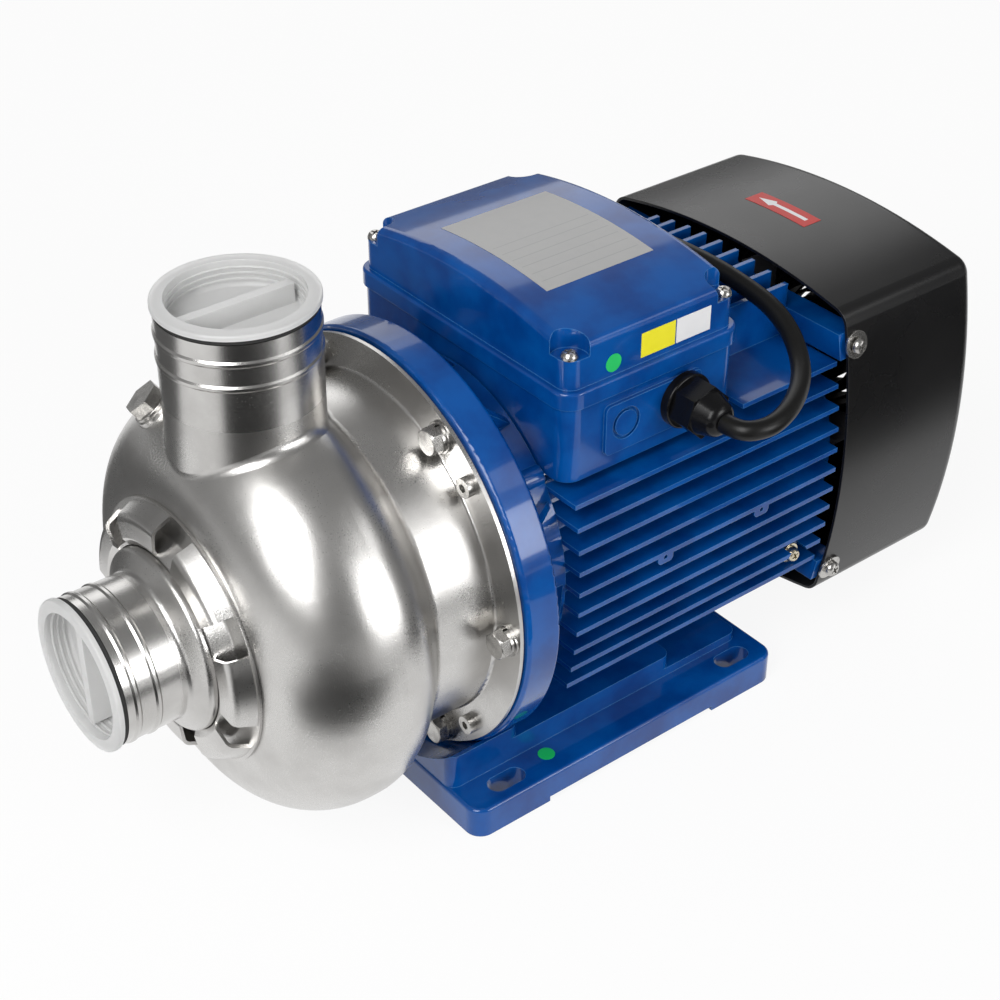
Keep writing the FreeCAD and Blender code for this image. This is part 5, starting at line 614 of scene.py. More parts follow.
class Growth(Nodes):
    """A Geometry Nodes tree with named sizes, which is evaluated once and left as a plain mesh."""

    def __init__(self, name: str) -> None:
        """Start a tree that takes a mesh of places and gives a mesh.

        Args:
            name: name of the tree.
        """
        super().__init__(bpy.data.node_groups.new(name, "GeometryNodeTree"))
        self.name = name
        self.tree.interface.new_socket("Places", in_out="INPUT", socket_type="NodeSocketGeometry")
        self.tree.interface.new_socket("Mesh", in_out="OUTPUT", socket_type="NodeSocketGeometry")
        self.entry = self.tree.nodes.new("NodeGroupInput")
        self.leave = self.tree.nodes.new("NodeGroupOutput")
        self.values: dict[str, float] = {}

    def size(self, name: str, value: float) -> Wire:
        """Add a named size.

        Args:
            name: its name.
            value: its value.

        Returns:
            The wire that gives it inside the tree.
        """
        kind = "NodeSocketInt" if isinstance(value, int) else "NodeSocketFloat"
        made = self.tree.interface.new_socket(name, in_out="INPUT", socket_type=kind)
        self.values[made.identifier] = value
        return Wire(self, self.entry.outputs[name])

    def vector(self, x: Any = 0.0, y: Any = 0.0, z: Any = 0.0) -> Wire:
        """Combine three numbers."""
        return self.node("ShaderNodeCombineXYZ", sockets={0: x, 1: y, 2: z})

    def moved(self, geometry: Wire, shift: Any, turn: float = 0.0) -> Wire:
        """Turn geometry about the Z axis and move it."""
        return self.node("GeometryNodeTransform",
                         sockets={"Geometry": geometry, "Translation": shift, "Rotation": (0.0, 0.0, turn)})

    def raised(self, geometry: Wire, height: Wire, share: float, turn: float = 0.0) -> Wire:
        """Move geometry along the Z axis by a share of a height."""
        return self.moved(geometry, self.vector(0.0, 0.0, height * share), turn)

    def cylinder(self, sides: int, radius: Any, depth: Any) -> Wire:
        """A cylinder about the Z axis, with its middle at the origin."""
        return self.node("GeometryNodeMeshCylinder",
                         sockets={"Vertices": sides, "Radius": radius, "Depth": depth})

    def block(self, *spans: Any) -> Wire:
        """A block with its middle at the origin."""
        return self.node("GeometryNodeMeshCube", sockets={"Size": self.vector(*spans)})

    def heap(self, part: Wire, count: Any, **sockets: Any) -> Wire:
        """Copies of a part at the origin, each scaled or turned by wires that read its index."""
        spots = self.node("GeometryNodeMeshLine", sockets={"Count": count, "Offset": (0.0, 0.0, 0.0)})
        return self.node("GeometryNodeInstanceOnPoints",
                         sockets={"Points": spots, "Instance": part, **sockets})

    def cut(self, solid: Wire, *tools: Wire) -> Wire:
        """Cut tools out of a solid."""
        return self.node("GeometryNodeMeshBoolean", {"operation": "DIFFERENCE", "solver": "EXACT"},
                         {"Mesh 1": solid, "Mesh 2": list(tools)}, "Mesh")

    def common(self, *solids: Wire) -> Wire:
        """What solids have in common."""
        return self.node("GeometryNodeMeshBoolean", {"operation": "INTERSECT", "solver": "EXACT"},
                         {"Mesh 2": list(solids)}, "Mesh")

    def joined(self, *parts: Wire) -> Wire:
        """Parts as one geometry."""
        return self.node("GeometryNodeJoinGeometry", sockets={0: list(parts)})

    def repeated(self, part: Wire) -> Wire:
        """Repeat a part at each place, with its Z axis along the place's facing.

        Args:
            part: the part.

        Returns:
            Its copies.
        """
        facing = self.node("GeometryNodeInputNamedAttribute", {"data_type": "FLOAT_VECTOR"},
                           {"Name": "facing"}, "Attribute")
        turn = self.node("FunctionNodeAlignRotationToVector", {"axis": "Z"}, {"Vector": facing})
        spots = Wire(self, self.entry.outputs["Places"])
        return self.node("GeometryNodeInstanceOnPoints",
                         sockets={"Points": spots, "Instance": part, "Rotation": turn})

    def grow(self, result: Wire, finish: Finish,
             places: Iterable[tuple[Vector, Vector]]) -> bpy.types.Mesh:
        """Evaluate the tree.

        Args:
            result: geometry that the tree ends in.
            finish: finish of the mesh.
            places: point and facing of each copy.

        Returns:
            The plain mesh.
        """
        real = self.node("GeometryNodeRealizeInstances", sockets={0: result})
        dressed = self.node("GeometryNodeSetMaterial",
                            sockets={"Geometry": real, "Material": finish.material()})
        self.tree.links.new(dressed.socket, self.leave.inputs["Mesh"])
        pairs = list(places)
        seeds = bpy.data.meshes.new(self.name)
        seeds.from_pydata([place for place, _ in pairs], [], [])
        facing = seeds.attributes.new("facing", "FLOAT_VECTOR", "POINT")
        facing.data.foreach_set("vector", [part for _, direction in pairs for part in direction])
        holder = bpy.data.objects.new(self.name, seeds)
        bpy.context.scene.collection.objects.link(holder)
        modifier = holder.modifiers.new(self.name, "NODES")
        modifier.node_group = self.tree
        for identifier, value in self.values.items():
            modifier[identifier] = value
        graph = bpy.context.evaluated_depsgraph_get()
        mesh = bpy.data.meshes.new_from_object(holder.evaluated_get(graph))
        holder.modifiers.remove(modifier)
        bpy.data.objects.remove(holder)
        return mesh


@dataclass
class CrossScrews:
    """Pan head screws with a cross recess, and their washers."""

    name: str
    body: str
    replaced: str
    slot: str
    finish: Finish
    places: list[tuple[Vector, Vector]]
    radius: float = 4.4 * MM
    height: float = 3.2 * MM
    shank: float = 2.5 * MM
    length: float = 7.0 * MM
    washer_radius: float = 0.0
    washer: float = 1.2 * MM
    crown_power: float = 2.6
    crown_drop: float = 0.34
    recess_reach: float = 1.06
    recess_width: float = 0.24
    recess_depth: float = 1.1
    recess_turn: float = math.radians(25)

    def build(self) -> bpy.types.Object:
        """Build the screws as one piece.

        Returns:
            The piece.
        """
        tree = Growth(self.name)
        radius, height = tree.size("Head radius", self.radius), tree.size("Head height", self.height)
        shank, length = tree.size("Shank radius", self.shank), tree.size("Shank length", self.length)
        drum = tree.node("GeometryNodeMeshCylinder", {"fill_type": "NGON"}, {
            "Vertices": 36, "Side Segments": 5, "Fill Segments": 4, "Radius": radius, "Depth": height})
        place = tree.node("GeometryNodeInputPosition")
        level = tree.node("ShaderNodeSeparateXYZ", sockets={0: place}, output="Z")
        up = level / height + 0.5
        belly = 1.0 - up ** self.crown_power * self.crown_drop
        crowned = tree.vectors("MULTIPLY", place, tree.vector(belly, belly, 1.0))
        head = tree.node("GeometryNodeSetPosition", sockets={"Geometry": drum, "Position": crowned})
        head = tree.raised(head, height, 0.5)
        arm, slim, deep = radius * self.recess_reach, radius * self.recess_width, height * self.recess_depth
        bars = [tree.raised(tree.block(*spans), height, 1.0, self.recess_turn)
                for spans in ((arm, slim, deep), (slim, arm, deep))]
        made = [tree.cut(head, *bars), tree.raised(tree.cylinder(20, shank, length), length, -0.5)]
        if self.washer_radius:
            reach, thick = tree.size("Washer radius", self.washer_radius), tree.size("Washer", self.washer)
            made.append(tree.raised(tree.cylinder(40, reach, thick), thick, -0.5))
        mesh = tree.grow(tree.repeated(tree.joined(*made)), self.finish, self.places)
        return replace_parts(shown(self.name, mesh, self.body, self.finish), self.replaced)


@dataclass
class HexBolts:
    """Ring of hexagon bolts with chamfered heads."""

    name: str = "casing_hex_bolts"
    at: float = -93.8 * MM
    circle: float = 101.2 * MM
    first: float = 0.0
    count: int = 6
    flats: float = 13.0 * MM
    height: float = 5.3 * MM
    shank: float = 4.0 * MM
    length: float = 20.0 * MM
    turn: float = math.radians(15)
    cone_foot: float = 0.95
    cone_top: float = 0.47

    def build(self) -> bpy.types.Object:
        """Build the ring of bolts as one piece.

        Returns:
            The piece.
        """
        tree = Growth(self.name)
        flats, height = tree.size("Across flats", self.flats), tree.size("Head height", self.height)
        shank, length = tree.size("Shank radius", self.shank), tree.size("Shank length", self.length)
        bar = tree.raised(tree.cylinder(6, flats / math.sqrt(3.0), height), height, 0.5, self.turn)
        cone = tree.node("GeometryNodeMeshCone", sockets={
            "Vertices": 48, "Radius Bottom": flats * self.cone_foot, "Radius Top": flats * self.cone_top,
            "Depth": height})
        head = tree.common(bar, cone)
        rod = tree.raised(tree.cylinder(24, shank, length), length, -0.5)
        places = []
        for step in range(self.count):
            angle = self.first + 2.0 * math.pi * step / self.count
            across, above = self.circle * math.cos(angle), self.circle * math.sin(angle)
            places.append((Vector((self.at, across, SHAFT_HEIGHT + above)), Facing.FRONT.vector))
        mesh = tree.grow(tree.repeated(tree.joined(head, rod)), Finish.ZINC, places)
        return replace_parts(shown(self.name, mesh, FIXED, Finish.ZINC), "casing_bolts")


@dataclass
class PortCap:
    """Transport plug of a port: its solid, and the thread turns moulded inside its cup."""

    port: Port
    mouth: Vector
    facing: Facing
    bore: float = 31.6 * MM
    turns: float = 3.2
    pitch: float = 3.0 * MM
    ridge: float = 0.75 * MM
    depth: float = 12.4 * MM

    def build(self) -> bpy.types.Object:
        """Dress the plug and build its thread.

        Returns:
            The thread.
        """
        name = self.port.value
        dress(Finish.CLEAR_PLASTIC, f"{name}_plug")
        dress(Finish.RUBBER, f"{name}_plug_ring")
        dress(Finish.SLEEVE, f"{name}_sleeve")
        tree = Growth(f"{name}_thread")
        bore, ridge = tree.size("Bore", self.bore), tree.size("Ridge", self.ridge)
        rise = tree.size("Pitch", self.pitch)
        turns = tree.size("Turns", self.turns)
        line = tree.node("GeometryNodeCurveSpiral", sockets={
            "Resolution": 56, "Rotations": turns, "Start Radius": bore, "End Radius": bore,
            "Height": rise * turns})
        section = tree.node("GeometryNodeCurvePrimitiveCircle", {"mode": "RADIUS"},
                            {"Resolution": 6, "Radius": ridge}, "Curve")
        tube = tree.node("GeometryNodeCurveToMesh", sockets={"Curve": line, "Profile Curve": section,
                                                             "Fill Caps": True})
        start = self.mouth - self.facing.vector * self.depth
        mesh = tree.grow(tree.repeated(tube), Finish.CLEAR_PLASTIC, [(start, self.facing.vector)])
        return shown(f"{name}_plug_thread", mesh, f"{name}_cap", Finish.CLEAR_PLASTIC, 60.0)


@dataclass
class FanGuard:
    """Deep rings behind the air slots of the fan cover, which keep fingers out. Their near black matt finish
    is painted shade that hides the daylight seen through the slots.
    """

    name: str = "fan_guard_shade_rings"
    at: float = 229.6 * MM
    first: float = 20.2 * MM
    pitch: float = 4.4 * MM
    count: int = 15
    thickness: float = 1.6 * MM
    depth: float = 11.6 * MM
    ribs: int = 72
    rib_reach: float = 46.0 * MM
    rib_middle: float = 61.0 * MM
    rib_thickness: float = 0.75
    rib_depth: float = 0.9

    def build(self) -> bpy.types.Object:
        """Build the rings, and the ribs between the outer ones, as one piece.

        Returns:
            The piece.
        """
        tree = Growth(self.name)
        first, pitch = tree.size("First radius", self.first), tree.size("Pitch", self.pitch)
        thickness, depth = tree.size("Thickness", self.thickness), tree.size("Depth", self.depth)
        index = tree.node("GeometryNodeInputIndex")
        reach = index * pitch + first
        circle = tree.node("GeometryNodeCurvePrimitiveCircle", {"mode": "RADIUS"},
                           {"Resolution": 96, "Radius": 1.0}, "Curve")
        lines = tree.heap(circle, tree.size("Rings", self.count), Scale=tree.vector(reach, reach, 1.0))
        lines = tree.node("GeometryNodeRealizeInstances", sockets={0: lines})
        section = tree.node("GeometryNodeCurvePrimitiveQuadrilateral", {"mode": "RECTANGLE"},
                            {"Width": thickness, "Height": depth})
        rings = tree.node("GeometryNodeCurveToMesh", sockets={"Curve": lines, "Profile Curve": section})
        ribs, length = tree.size("Ribs", self.ribs), tree.size("Rib length", self.rib_reach)
        middle = tree.size("Rib middle", self.rib_middle)
        turn = index * (2.0 * math.pi) / ribs
        rib = tree.block(length, thickness * self.rib_thickness, depth * self.rib_depth)
        rib = tree.moved(rib, tree.vector(middle, 0.0, 0.0))
        spokes = tree.heap(rib, ribs, Rotation=tree.vector(0.0, 0.0, turn))
        place = (Vector((self.at, 0.0, SHAFT_HEIGHT)), Facing.FRONT.vector)
        mesh = tree.grow(tree.repeated(tree.joined(rings, spokes)), Finish.SHADE_GUARD, [place])
        return shown(self.name, mesh, FIXED, Finish.SHADE_GUARD)


@dataclass
class FilmPatch:
    """A thin film laid on a surface, following it."""

    name: str
    carrier: str
    centre: Vector
    across: Vector
    up: Vector
    width: float
    height: float
    finish: Finish
    body: str
    columns: int = 24
    rows: int = 16
    thickness: float = 0.12 * MM
    lift: float = 0.06 * MM
    sink: float = 0.02 * MM
    reach: float = 40 * MM

    def outline(self, u: float, v: float) -> tuple[float, float]:
        """Offsets across and up, in metres, of a point at shares of the width and the height."""
        return (u - 0.5) * self.width, (v - 0.5) * self.height

    def build(self) -> bpy.types.Object:
        """Lay the film on its carrier.

        Returns:
            The film.
        """
        graph = bpy.context.evaluated_depsgraph_get()
        surface = BVHTree.FromObject(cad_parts[self.carrier], graph)
        normal = self.across.cross(self.up).normalized()
        work = bmesh.new()
        film = work.loops.layers.uv.new("film")
        layers: list[list[list[bmesh.types.BMVert]]] = []
        for height in (self.lift + self.thickness, -self.sink):
            sheet = []
            for row in range(self.rows + 1):
                line = []
                for column in range(self.columns + 1):
                    side, rise = self.outline(column / self.columns, row / self.rows)
                    start = self.centre + self.across * side + self.up * rise + normal * self.reach
                    found, _, _, _ = surface.ray_cast(start, -normal)
                    if found is None:
                        raise ValueError(f"{self.name} misses {self.carrier}")
                    line.append(work.verts.new(found + normal * height))
                sheet.append(line)
            layers.append(sheet)
        top, under = layers

        def face(corners: Sequence[bmesh.types.BMVert], shares: Sequence[tuple[float, float]]) -> None:
            """Add a face with its place on the film's map."""
            made = work.faces.new(corners)
            for loop, share in zip(made.loops, shares):
                loop[film].uv = share

        for row in range(self.rows):
            for column in range(self.columns):
                steps = ((0, 0), (1, 0), (1, 1), (0, 1))
                shares = [((column + a) / self.columns, (row + b) / self.rows) for a, b in steps]
                face([top[row + b][column + a] for a, b in steps], shares)
                face([under[row + b][column + a] for a, b in reversed(steps)], shares[::-1])
        rim = [(0, column) for column in range(self.columns)]
        rim += [(row, self.columns) for row in range(self.rows)]
        rim += [(self.rows, column) for column in range(self.columns, 0, -1)]
        rim += [(row, 0) for row in range(self.rows, 0, -1)]
        for (row, column), (next_row, next_column) in zip(rim, rim[1:] + rim[:1]):
            corners = [top[next_row][next_column], top[row][column], under[row][column],
                       under[next_row][next_column]]
            face(corners, [(0.0, 0.0)] * 4)
        mesh = mesh_from(self.name, work)
        return shown(self.name, mesh, self.body, self.finish, smooth=30.0)


@dataclass
class RoundFilm(FilmPatch):
    """A round film."""

    def outline(self, u: float, v: float) -> tuple[float, float]:
        """Map the square to a disc."""
        side, rise = 2.0 * u - 1.0, 2.0 * v - 1.0
        return (side * math.sqrt(1.0 - rise * rise / 2.0) * self.width / 2.0,
                rise * math.sqrt(1.0 - side * side / 2.0) * self.height / 2.0)


@dataclass
class ArrowFilm(FilmPatch):
    """A plain arrow that points along its width."""

    head: float = 0.32
    stem: float = 0.36
    point: float = 0.012

    def outline(self, u: float, v: float) -> tuple[float, float]:
        """Taper the head to its point, and narrow the stem."""
        half = max(1.0 - u, self.point) / self.head if u > 1.0 - self.head else self.stem
        return (u - 0.5) * self.width, (v - 0.5) * self.height * half


@dataclass(frozen=True)
class Softbox:
    """A rectangular studio lamp."""

    name: str
    place: Point
    aim: Point
    width: float
    height: float
    power: float


@dataclass(frozen=True)
class Card:
    """A studio card that only reflections show: pale for a highlight, dark for contrast."""

    name: str
    place: Point
    aim: Point
    width: float
    height: float
    tone: float


@dataclass
class Studio:
    """White room: camera, floor, lamps and cards."""

    camera_at: Point = (-0.5400224, -0.6583523, 0.6992044)
    right: Point = (0.7827380, -0.6223479, 0.0020990)
    above: Point = (0.3530706, 0.4468355, 0.8219971)
    behind: Point = (-0.5125060, -0.6426672, 0.5694879)
    lens: float = 70.319
    floor_size: float = 14.0
    floor_tone: float = 0.88
    floor_glow: float = 0.90
    world_light: float = 0.34
    lamps: list[Softbox] = field(default_factory=lambda: [
        Softbox("key_softbox", (-1.30, -0.55, 1.30), (-0.10, 0.0, 0.12), 0.85, 1.3, 21.0),
        Softbox("fill_softbox", (0.62, -1.70, 0.62), (0.0, 0.0, 0.12), 0.75, 0.75, 12.5),
        Softbox("back_softbox", (1.05, 1.45, 1.08), (0.0, 0.0, 0.15), 1.9, 0.9, 7.5),
    ])
    cards: list[Card] = field(default_factory=lambda: [
        Card("key_reflector", (-1.75, -0.80, 1.65), (-0.10, 0.0, 0.12), 1.25, 1.9, 2.6),
        Card("fill_reflector", (0.75, -2.05, 0.95), (0.0, 0.0, 0.12), 1.3, 1.6, 0.9),
        Card("corner_reflector", (1.35, -1.45, 1.55), (0.15, -0.05, 0.15), 0.8, 0.6, 2.2),
        Card("left_wall", (-2.6, 0.0, 1.2), (0.0, 0.0, 1.2), 5.2, 2.4, 0.30),
        Card("right_wall", (2.6, 0.0, 1.2), (0.0, 0.0, 1.2), 5.2, 2.4, 0.16),
        Card("front_wall", (0.0, -2.6, 1.2), (0.0, 0.0, 1.2), 5.2, 2.4, 0.16),
        Card("back_wall", (0.0, 2.6, 1.2), (0.0, 0.0, 1.2), 5.2, 2.4, 0.20),
        Card("ceiling", (0.0, 0.0, 2.4), (0.0, 0.001, 0.0), 5.2, 5.2, 0.26),
        Card("camera_floor", (-0.62, -0.74, 0.003), (-0.621, -0.741, 1.0), 0.62, 1.3, 0.03),
        Card("side_floor", (0.92, -0.97, 0.002), (0.92, -0.971, 1.0), 1.5, 1.5, 0.02),
        Card("back_floor", (-0.75, 0.85, 0.002), (-0.75, 0.851, 1.0), 1.2, 1.2, 0.12),
    ])

    @staticmethod
    def aimed(place: Point, aim: Point) -> Matrix:
        """Transform at a place whose -Z axis points at another."""
        turn = (Vector(aim) - Vector(place)).to_track_quat("-Z", "Y")
        return Matrix.LocRotScale(Vector(place), turn, None)

    def camera(self) -> None:
        """Stand the camera where the photograph was taken."""
        data = bpy.data.cameras.new("camera")
        data.sensor_width = 36.0
        data.lens = self.lens
        data.clip_start = 0.02
        data.clip_end = 60.0
        camera = bpy.data.objects.new("camera", data)
        turn = Matrix((self.right, self.above, self.behind)).transposed().to_4x4()
        camera.matrix_world = Matrix.Translation(self.camera_at) @ turn
        bpy.context.scene.collection.objects.link(camera)
        bpy.context.scene.camera = camera

    def floor(self) -> None:
        """Lay the pale floor, which the camera and reflections see as white."""
        sheet = Sheet("floor")
        cloud = sheet.noise(0.4, 2.0)
        tone = (self.floor_tone,) * 3
        colour = sheet.blend(cloud * 0.02, tone, (0.85, 0.85, 0.85))
        shader = sheet.node("ShaderNodeBsdfDiffuse", sockets={"Color": colour, "Roughness": 0.5})
        glow = sheet.node("ShaderNodeEmission", sockets={"Color": (1.0, 1.0, 1.0, 1.0), "Strength": 1.0})
        share = self.white_rays(sheet) * self.floor_glow
        mixed = sheet.node("ShaderNodeMixShader", sockets={0: share, 1: shader, 2: glow})
        sheet.node("ShaderNodeOutputMaterial", sockets={"Surface": mixed}, output=None)
        bpy.ops.mesh.primitive_plane_add(size=self.floor_size, location=(0.0, 0.0, -0.0005))
        plane = bpy.context.object
        plane.name = "floor"
        plane.data.materials.append(sheet.material)

    @staticmethod
    def white_rays(sheet: Sheet) -> Wire:
        """1 for what the camera, metal and glass see, and 0 for light on the object."""
        seen = [sheet.node("ShaderNodeLightPath", output=name)
                for name in ("Is Camera Ray", "Is Glossy Ray", "Is Transmission Ray")]
        return sheet.maths("MAXIMUM", sheet.maths("MAXIMUM", seen[0], seen[1]), seen[2])

    def world(self) -> None:
        """Fill the room with even light before a white background."""
        world = bpy.data.worlds.new("studio")
        bpy.context.scene.world = world
        sheet = Sheet("studio", world)
        light, white = (sheet.node("ShaderNodeBackground", sockets={"Color": (1.0,) * 4, "Strength": power})
                        for power in (self.world_light, 1.0))
        mixed = sheet.node("ShaderNodeMixShader", sockets={0: self.white_rays(sheet), 1: light, 2: white})
        sheet.node("ShaderNodeOutputWorld", sockets={"Surface": mixed}, output=None)

    def build(self) -> None:
        """Build the whole room."""
        bpy.context.scene.view_settings.view_transform = "Standard"
        self.camera()
        self.world()
        self.floor()
        for lamp in self.lamps:
            data = bpy.data.lights.new(lamp.name, "AREA")
            data.shape = "RECTANGLE"
            data.size, data.size_y = lamp.width, lamp.height
            data.energy = lamp.power
            made = bpy.data.objects.new(lamp.name, data)
            made.matrix_world = self.aimed(lamp.place, lamp.aim)
            bpy.context.scene.collection.objects.link(made)
        for card in self.cards:
            sheet = Sheet(card.name)
            tone = (*(card.tone,) * 3, 1.0)
            shader = sheet.node("ShaderNodeEmission", sockets={"Color": tone, "Strength": 1.0})
            sheet.node("ShaderNodeOutputMaterial", sockets={"Surface": shader}, output=None)
            corners = [(side * card.width / 2, rise * card.height / 2, 0.0)
                       for side, rise in ((-1, -1), (1, -1), (1, 1), (-1, 1))]
            mesh = bpy.data.meshes.new(card.name)
            mesh.from_pydata(corners, [], [(0, 1, 2, 3)])
            mesh.transform(self.aimed(card.place, card.aim))
            mesh.materials.append(sheet.material)
            made = bpy.data.objects.new(card.name, mesh)
            bpy.context.scene.collection.objects.link(made)
            made.visible_camera = made.visible_diffuse = False
            made.visible_shadow = made.visible_transmission = False


@dataclass
class PowerLead:
    """Mains lead: out of the gland, over the fins, down to the ground, round its coil and into its plug."""

    radius: float = 5.0 * MM
    length: float = 1.70
    route: tuple[Point, ...] = (
        (193.0, -113.6, 79.0), (193.2, -121.5, 79.0), (198.5, -128.0, 79.3), (210.5, -130.0, 79.6),
        (228.0, -124.0, 80.5), (245.0, -113.0, 82.0), (257.0, -100.0, 85.0), (265.0, -85.0, 90.5),
        (268.5, -68.0, 96.0), (269.0, -48.0, 99.0), (268.0, -26.0, 101.5), (266.0, -2.0, 102.3),
        (263.5, 22.0, 102.0), (260.5, 46.0, 100.5), (258.0, 69.0, 95.0), (256.0, 89.0, 83.0),
        (254.5, 104.0, 64.0), (254.0, 112.5, 40.0), (254.0, 115.0, 12.0), (254.0, 115.5, -18.0),
        (254.5, 117.0, -46.0), (255.5, 123.0, -73.0), (257.0, 135.0, -96.0), (258.5, 152.0, -111.5),
        (260.0, 172.0, -118.2), (260.0, 192.0, -118.2),
    )
    coil_centre: tuple[float, float] = (37.4 * MM, 192.0 * MM)
    outer: float = 60.0 * MM
    inner: float = 50.0 * MM
    low: float = 5.2 * MM
    high: float = 15.3 * MM
    steps: int = 15
    last: int = 1170
    goes_in: tuple[int, int] = (215, 335)
    climbs: tuple[int, int] = (540, 640)
    comes_out: tuple[int, int] = (830, 950)
    end: tuple[Point, ...] = ((0.0280, 0.2565, 0.0175), (0.0210, 0.2581, 0.0192), (0.0134, 0.2583, 0.0193))

    @staticmethod
    def between(value: float, low: float, high: float) -> float:
        """Smooth step from 0 to 1."""
        share = min(1.0, max(0.0, (value - low) / (high - low)))
        return share * share * (3.0 - 2.0 * share)

    def points(self) -> list[Vector]:
        """Work out the route, the coil's turns and the run into the plug.

        Returns:
            The control points.
        """
        base = Vector((PORT_AXIS, 0.0, SHAFT_HEIGHT))
        made = [Vector(point) * MM + base for point in self.route]
        step = 360 // self.steps
        for angle in range(step, self.last + 1, step):
            inward = self.between(angle, *self.goes_in) - self.between(angle, *self.comes_out)
            reach = self.outer + (self.inner - self.outer) * inward
            height = self.low + (self.high - self.low) * self.between(angle, *self.climbs)
            turn = math.radians(angle)
            made.append(Vector((self.coil_centre[0] + reach * math.cos(turn),
                                self.coil_centre[1] + reach * math.sin(turn), height)))
        return made + [Vector(point) for point in self.end]

    def build(self) -> bpy.types.Object:
        """Build the lead on one smooth spline.

        Returns:
            The lead.
        """
        curve = bpy.data.curves.new("mains_lead", "CURVE")
        curve.dimensions = "3D"
        curve.bevel_depth = self.radius
        curve.bevel_resolution = 6
        curve.resolution_u = 10
        curve.use_fill_caps = True
        points = self.points()
        spline = curve.splines.new("NURBS")
        spline.points.add(len(points) - 1)
        for point, place in zip(spline.points, points):
            point.co = (*place, 1.0)
        spline.order_u = 3
        spline.use_endpoint_u = True
        curve.materials.append(Finish.CABLE.material())
        lead = bpy.data.objects.new("mains_lead", curve)
        bpy.context.scene.collection.objects.link(lead)
        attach(lead, FIXED)
        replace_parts(lead, "power_cable", "cable_coil")
        dress(Finish.GLAND, "mains_plug", "gland_body", "gland_nut")
        2 * self.radius
        return lead


@dataclass
class WetEnd:
    """Pressed casing with its ports, stiffener and screws, and what turns inside it."""

    suction_mouth: Vector = spot(-261.8 * MM, 0.0, SHAFT_HEIGHT)
    discharge_mouth: Vector = spot(PORT_AXIS, 0.0, 288.8 * MM)

    def build(self) -> None:
        """Dress the solids and build the pieces."""
        dress(Finish.STEEL, "pump_casing", "stiffener_ring")
        dress(Finish.WET_STEEL, "seal_plate", "impeller", "inlet_ring")
        dress(Finish.RUBBER, "casing_seal_ring", "seal_bellows", "slinger")
        dress(Finish.ZINC, "casing_washers", "casing_socket_screws", "impeller_nut", "fill_plug",
              "fill_plug_washer", "drain_plug", "drain_plug_washer")
        dress(Finish.CERAMIC, "seal_seat")
        dress(Finish.CARBON, "seal_face_ring")
        dress(Finish.SHAFT, "impeller_key")
        PortCap(Port.SUCTION, self.suction_mouth, Facing.FRONT).build()
        PortCap(Port.DISCHARGE, self.discharge_mouth, Facing.UP).build()
        HexBolts().build()


@dataclass
class Motor:
    """Finned motor with its bracket, foot, fan cover and what turns inside it."""

    cover_screw_x: float = 144.9 * MM
    cover_screw_y: float = 93.7 * MM
    cover_screw_z: tuple[float, float] = (52.34 * MM, 194.46 * MM)
    earth_at: Vector = spot(118.4 * MM, -86.0 * MM, 70.4 * MM)
    arrow_at: Vector = spot(185.3 * MM, 3.7 * MM, 225.0 * MM)
    dot_at: Vector = spot(-50.9 * MM, -83.9 * MM, 30.0 * MM)

    def build(self) -> None:
        """Dress the solids and build the pieces."""
        dress(Finish.BLUE, "motor_bracket", "motor_housing", "foot_base", "rear_shield")
        dress(Finish.BLACK, "fan_cover")
        dress(Finish.ZINC, "fan_cover_washers", "tie_rods", "foot_screws", "fan_clip")
        dress(Finish.FAN, "fan")
        dress(Finish.LAMINATION, "stator_core", "rotor_core")
        dress(Finish.WINDING, "stator_windings")
        dress(Finish.SHAFT, "shaft", "wave_spring")
        for place in ("front", "rear"):
            dress(Finish.BEARING, *(f"{place}_bearing_{part}" for part in ("inner", "outer", "balls")))
        places = [(Vector((self.cover_screw_x, side.vector.y * self.cover_screw_y, height)), side.vector)
                  for side in (Facing.LEFT, Facing.RIGHT) for height in self.cover_screw_z]
        CrossScrews("cover_cross_screws", FIXED, "fan_cover_screws", "zinc", Finish.ZINC, places,
                    radius=4.5 * MM, length=12 * MM).build()
        earth = [(self.earth_at, Facing.RIGHT.vector)]
        CrossScrews("earth_cross_screw", FIXED, "earth_screw", "brass_screw", Finish.BRASS, earth,
                    height=4.2 * MM, washer_radius=5.8 * MM, washer=1.8 * MM, length=11 * MM).build()
        FanGuard().build()
        left, ahead = Facing.LEFT.vector, Facing.FRONT.vector
        FilmPatch("turning_plate", "fan_cover", self.arrow_at, left, ahead, width=45 * MM, height=13.2 * MM,
                  finish=Finish.RED, body=FIXED).build()
        ArrowFilm("turning_arrow", "fan_cover", self.arrow_at, left, ahead, width=36 * MM, height=7.4 * MM,
                  finish=Finish.WHITE, body=FIXED, thickness=0.08 * MM, lift=0.19 * MM).build()
        RoundFilm("foot_dot", "foot_base", self.dot_at, -ahead, left, width=9 * MM, height=9 * MM,
                  finish=Finish.GREEN_DOT, body=FIXED, columns=12, rows=12).build()


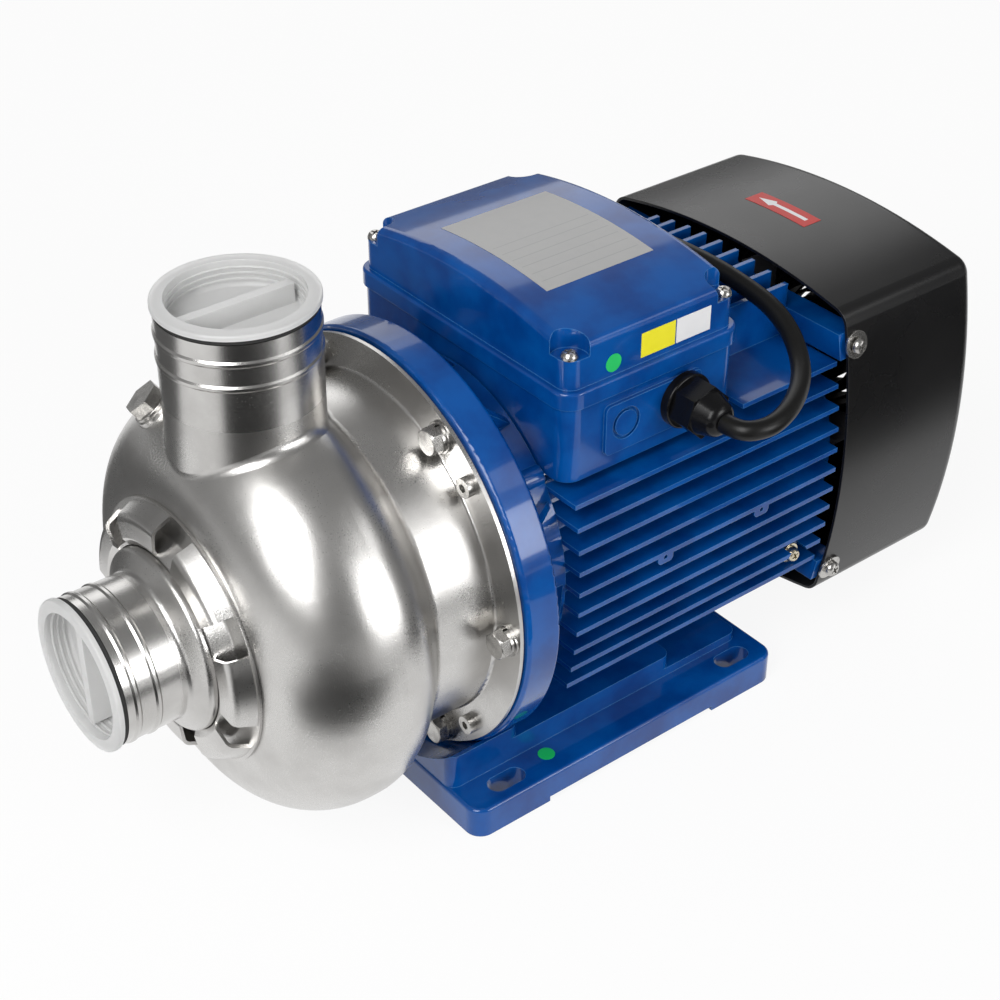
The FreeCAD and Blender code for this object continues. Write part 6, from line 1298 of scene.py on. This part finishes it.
@dataclass
class TerminalHousing:
    """Terminal box and its cover, with blank films where the real one has its plates."""

    screw_x: tuple[float, float] = (-35.4 * MM, 61.6 * MM)
    screw_y: float = 76.0 * MM
    screw_z: float = 244.9 * MM
    plate_at: Vector = spot(13.0 * MM, -0.6 * MM, 262.0 * MM)
    dot_at: Vector = spot(-12.4 * MM, -100.0 * MM, 236.1 * MM)
    yellow_at: Vector = spot(15.4 * MM, -100.0 * MM, 238.9 * MM)
    white_at: Vector = spot(38.0 * MM, -100.0 * MM, 238.9 * MM)

    def build(self) -> None:
        """Dress the solids and build the pieces."""
        dress(Finish.BLUE, "terminal_box", "terminal_cover")
        dress(Finish.RUBBER, "terminal_gasket")
        dress(Finish.BLOCK, "terminal_block", "capacitor")
        places = [(Vector((x, side * self.screw_y, self.screw_z)), Facing.UP.vector)
                  for x in self.screw_x for side in (-1.0, 1.0)]
        CrossScrews("cover_lid_screws", "box_cover", "terminal_cover_screws", "zinc", Finish.ZINC, places,
                    radius=4.2 * MM, length=36 * MM).build()
        back, left, up = -Facing.FRONT.vector, Facing.LEFT.vector, Facing.UP.vector
        FilmPatch("rating_film", "terminal_cover", self.plate_at, back, left, width=67 * MM, height=82 * MM,
                  finish=Finish.LABEL, body="box_cover", rows=40).build()
        RoundFilm("cover_dot", "terminal_cover", self.dot_at, back, up, width=9.4 * MM, height=9.4 * MM,
                  finish=Finish.GREEN_DOT, body="box_cover", columns=12, rows=12).build()
        for name, at, width, finish in (("yellow_patch", self.yellow_at, 21.5 * MM, Finish.YELLOW),
                                        ("white_patch", self.white_at, 22.0 * MM, Finish.WHITE)):
            FilmPatch(name, "terminal_cover", at, back, up, width=width, height=13 * MM, finish=finish,
                      body="box_cover", columns=6, rows=6).build()


def main() -> None:
    """Build the room and the pump, and log the faces of each piece and each assembly as it is built."""
    logging.basicConfig(level=logging.INFO, format="%(name)s: %(message)s")
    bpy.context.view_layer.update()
    Studio().build()
    PowerLead().build()
    for assembly in (WetEnd(), Motor(), TerminalHousing()):
        assembly.build()
        log.info("%s is built", type(assembly).__name__)


if __name__ == "__main__":
    main()
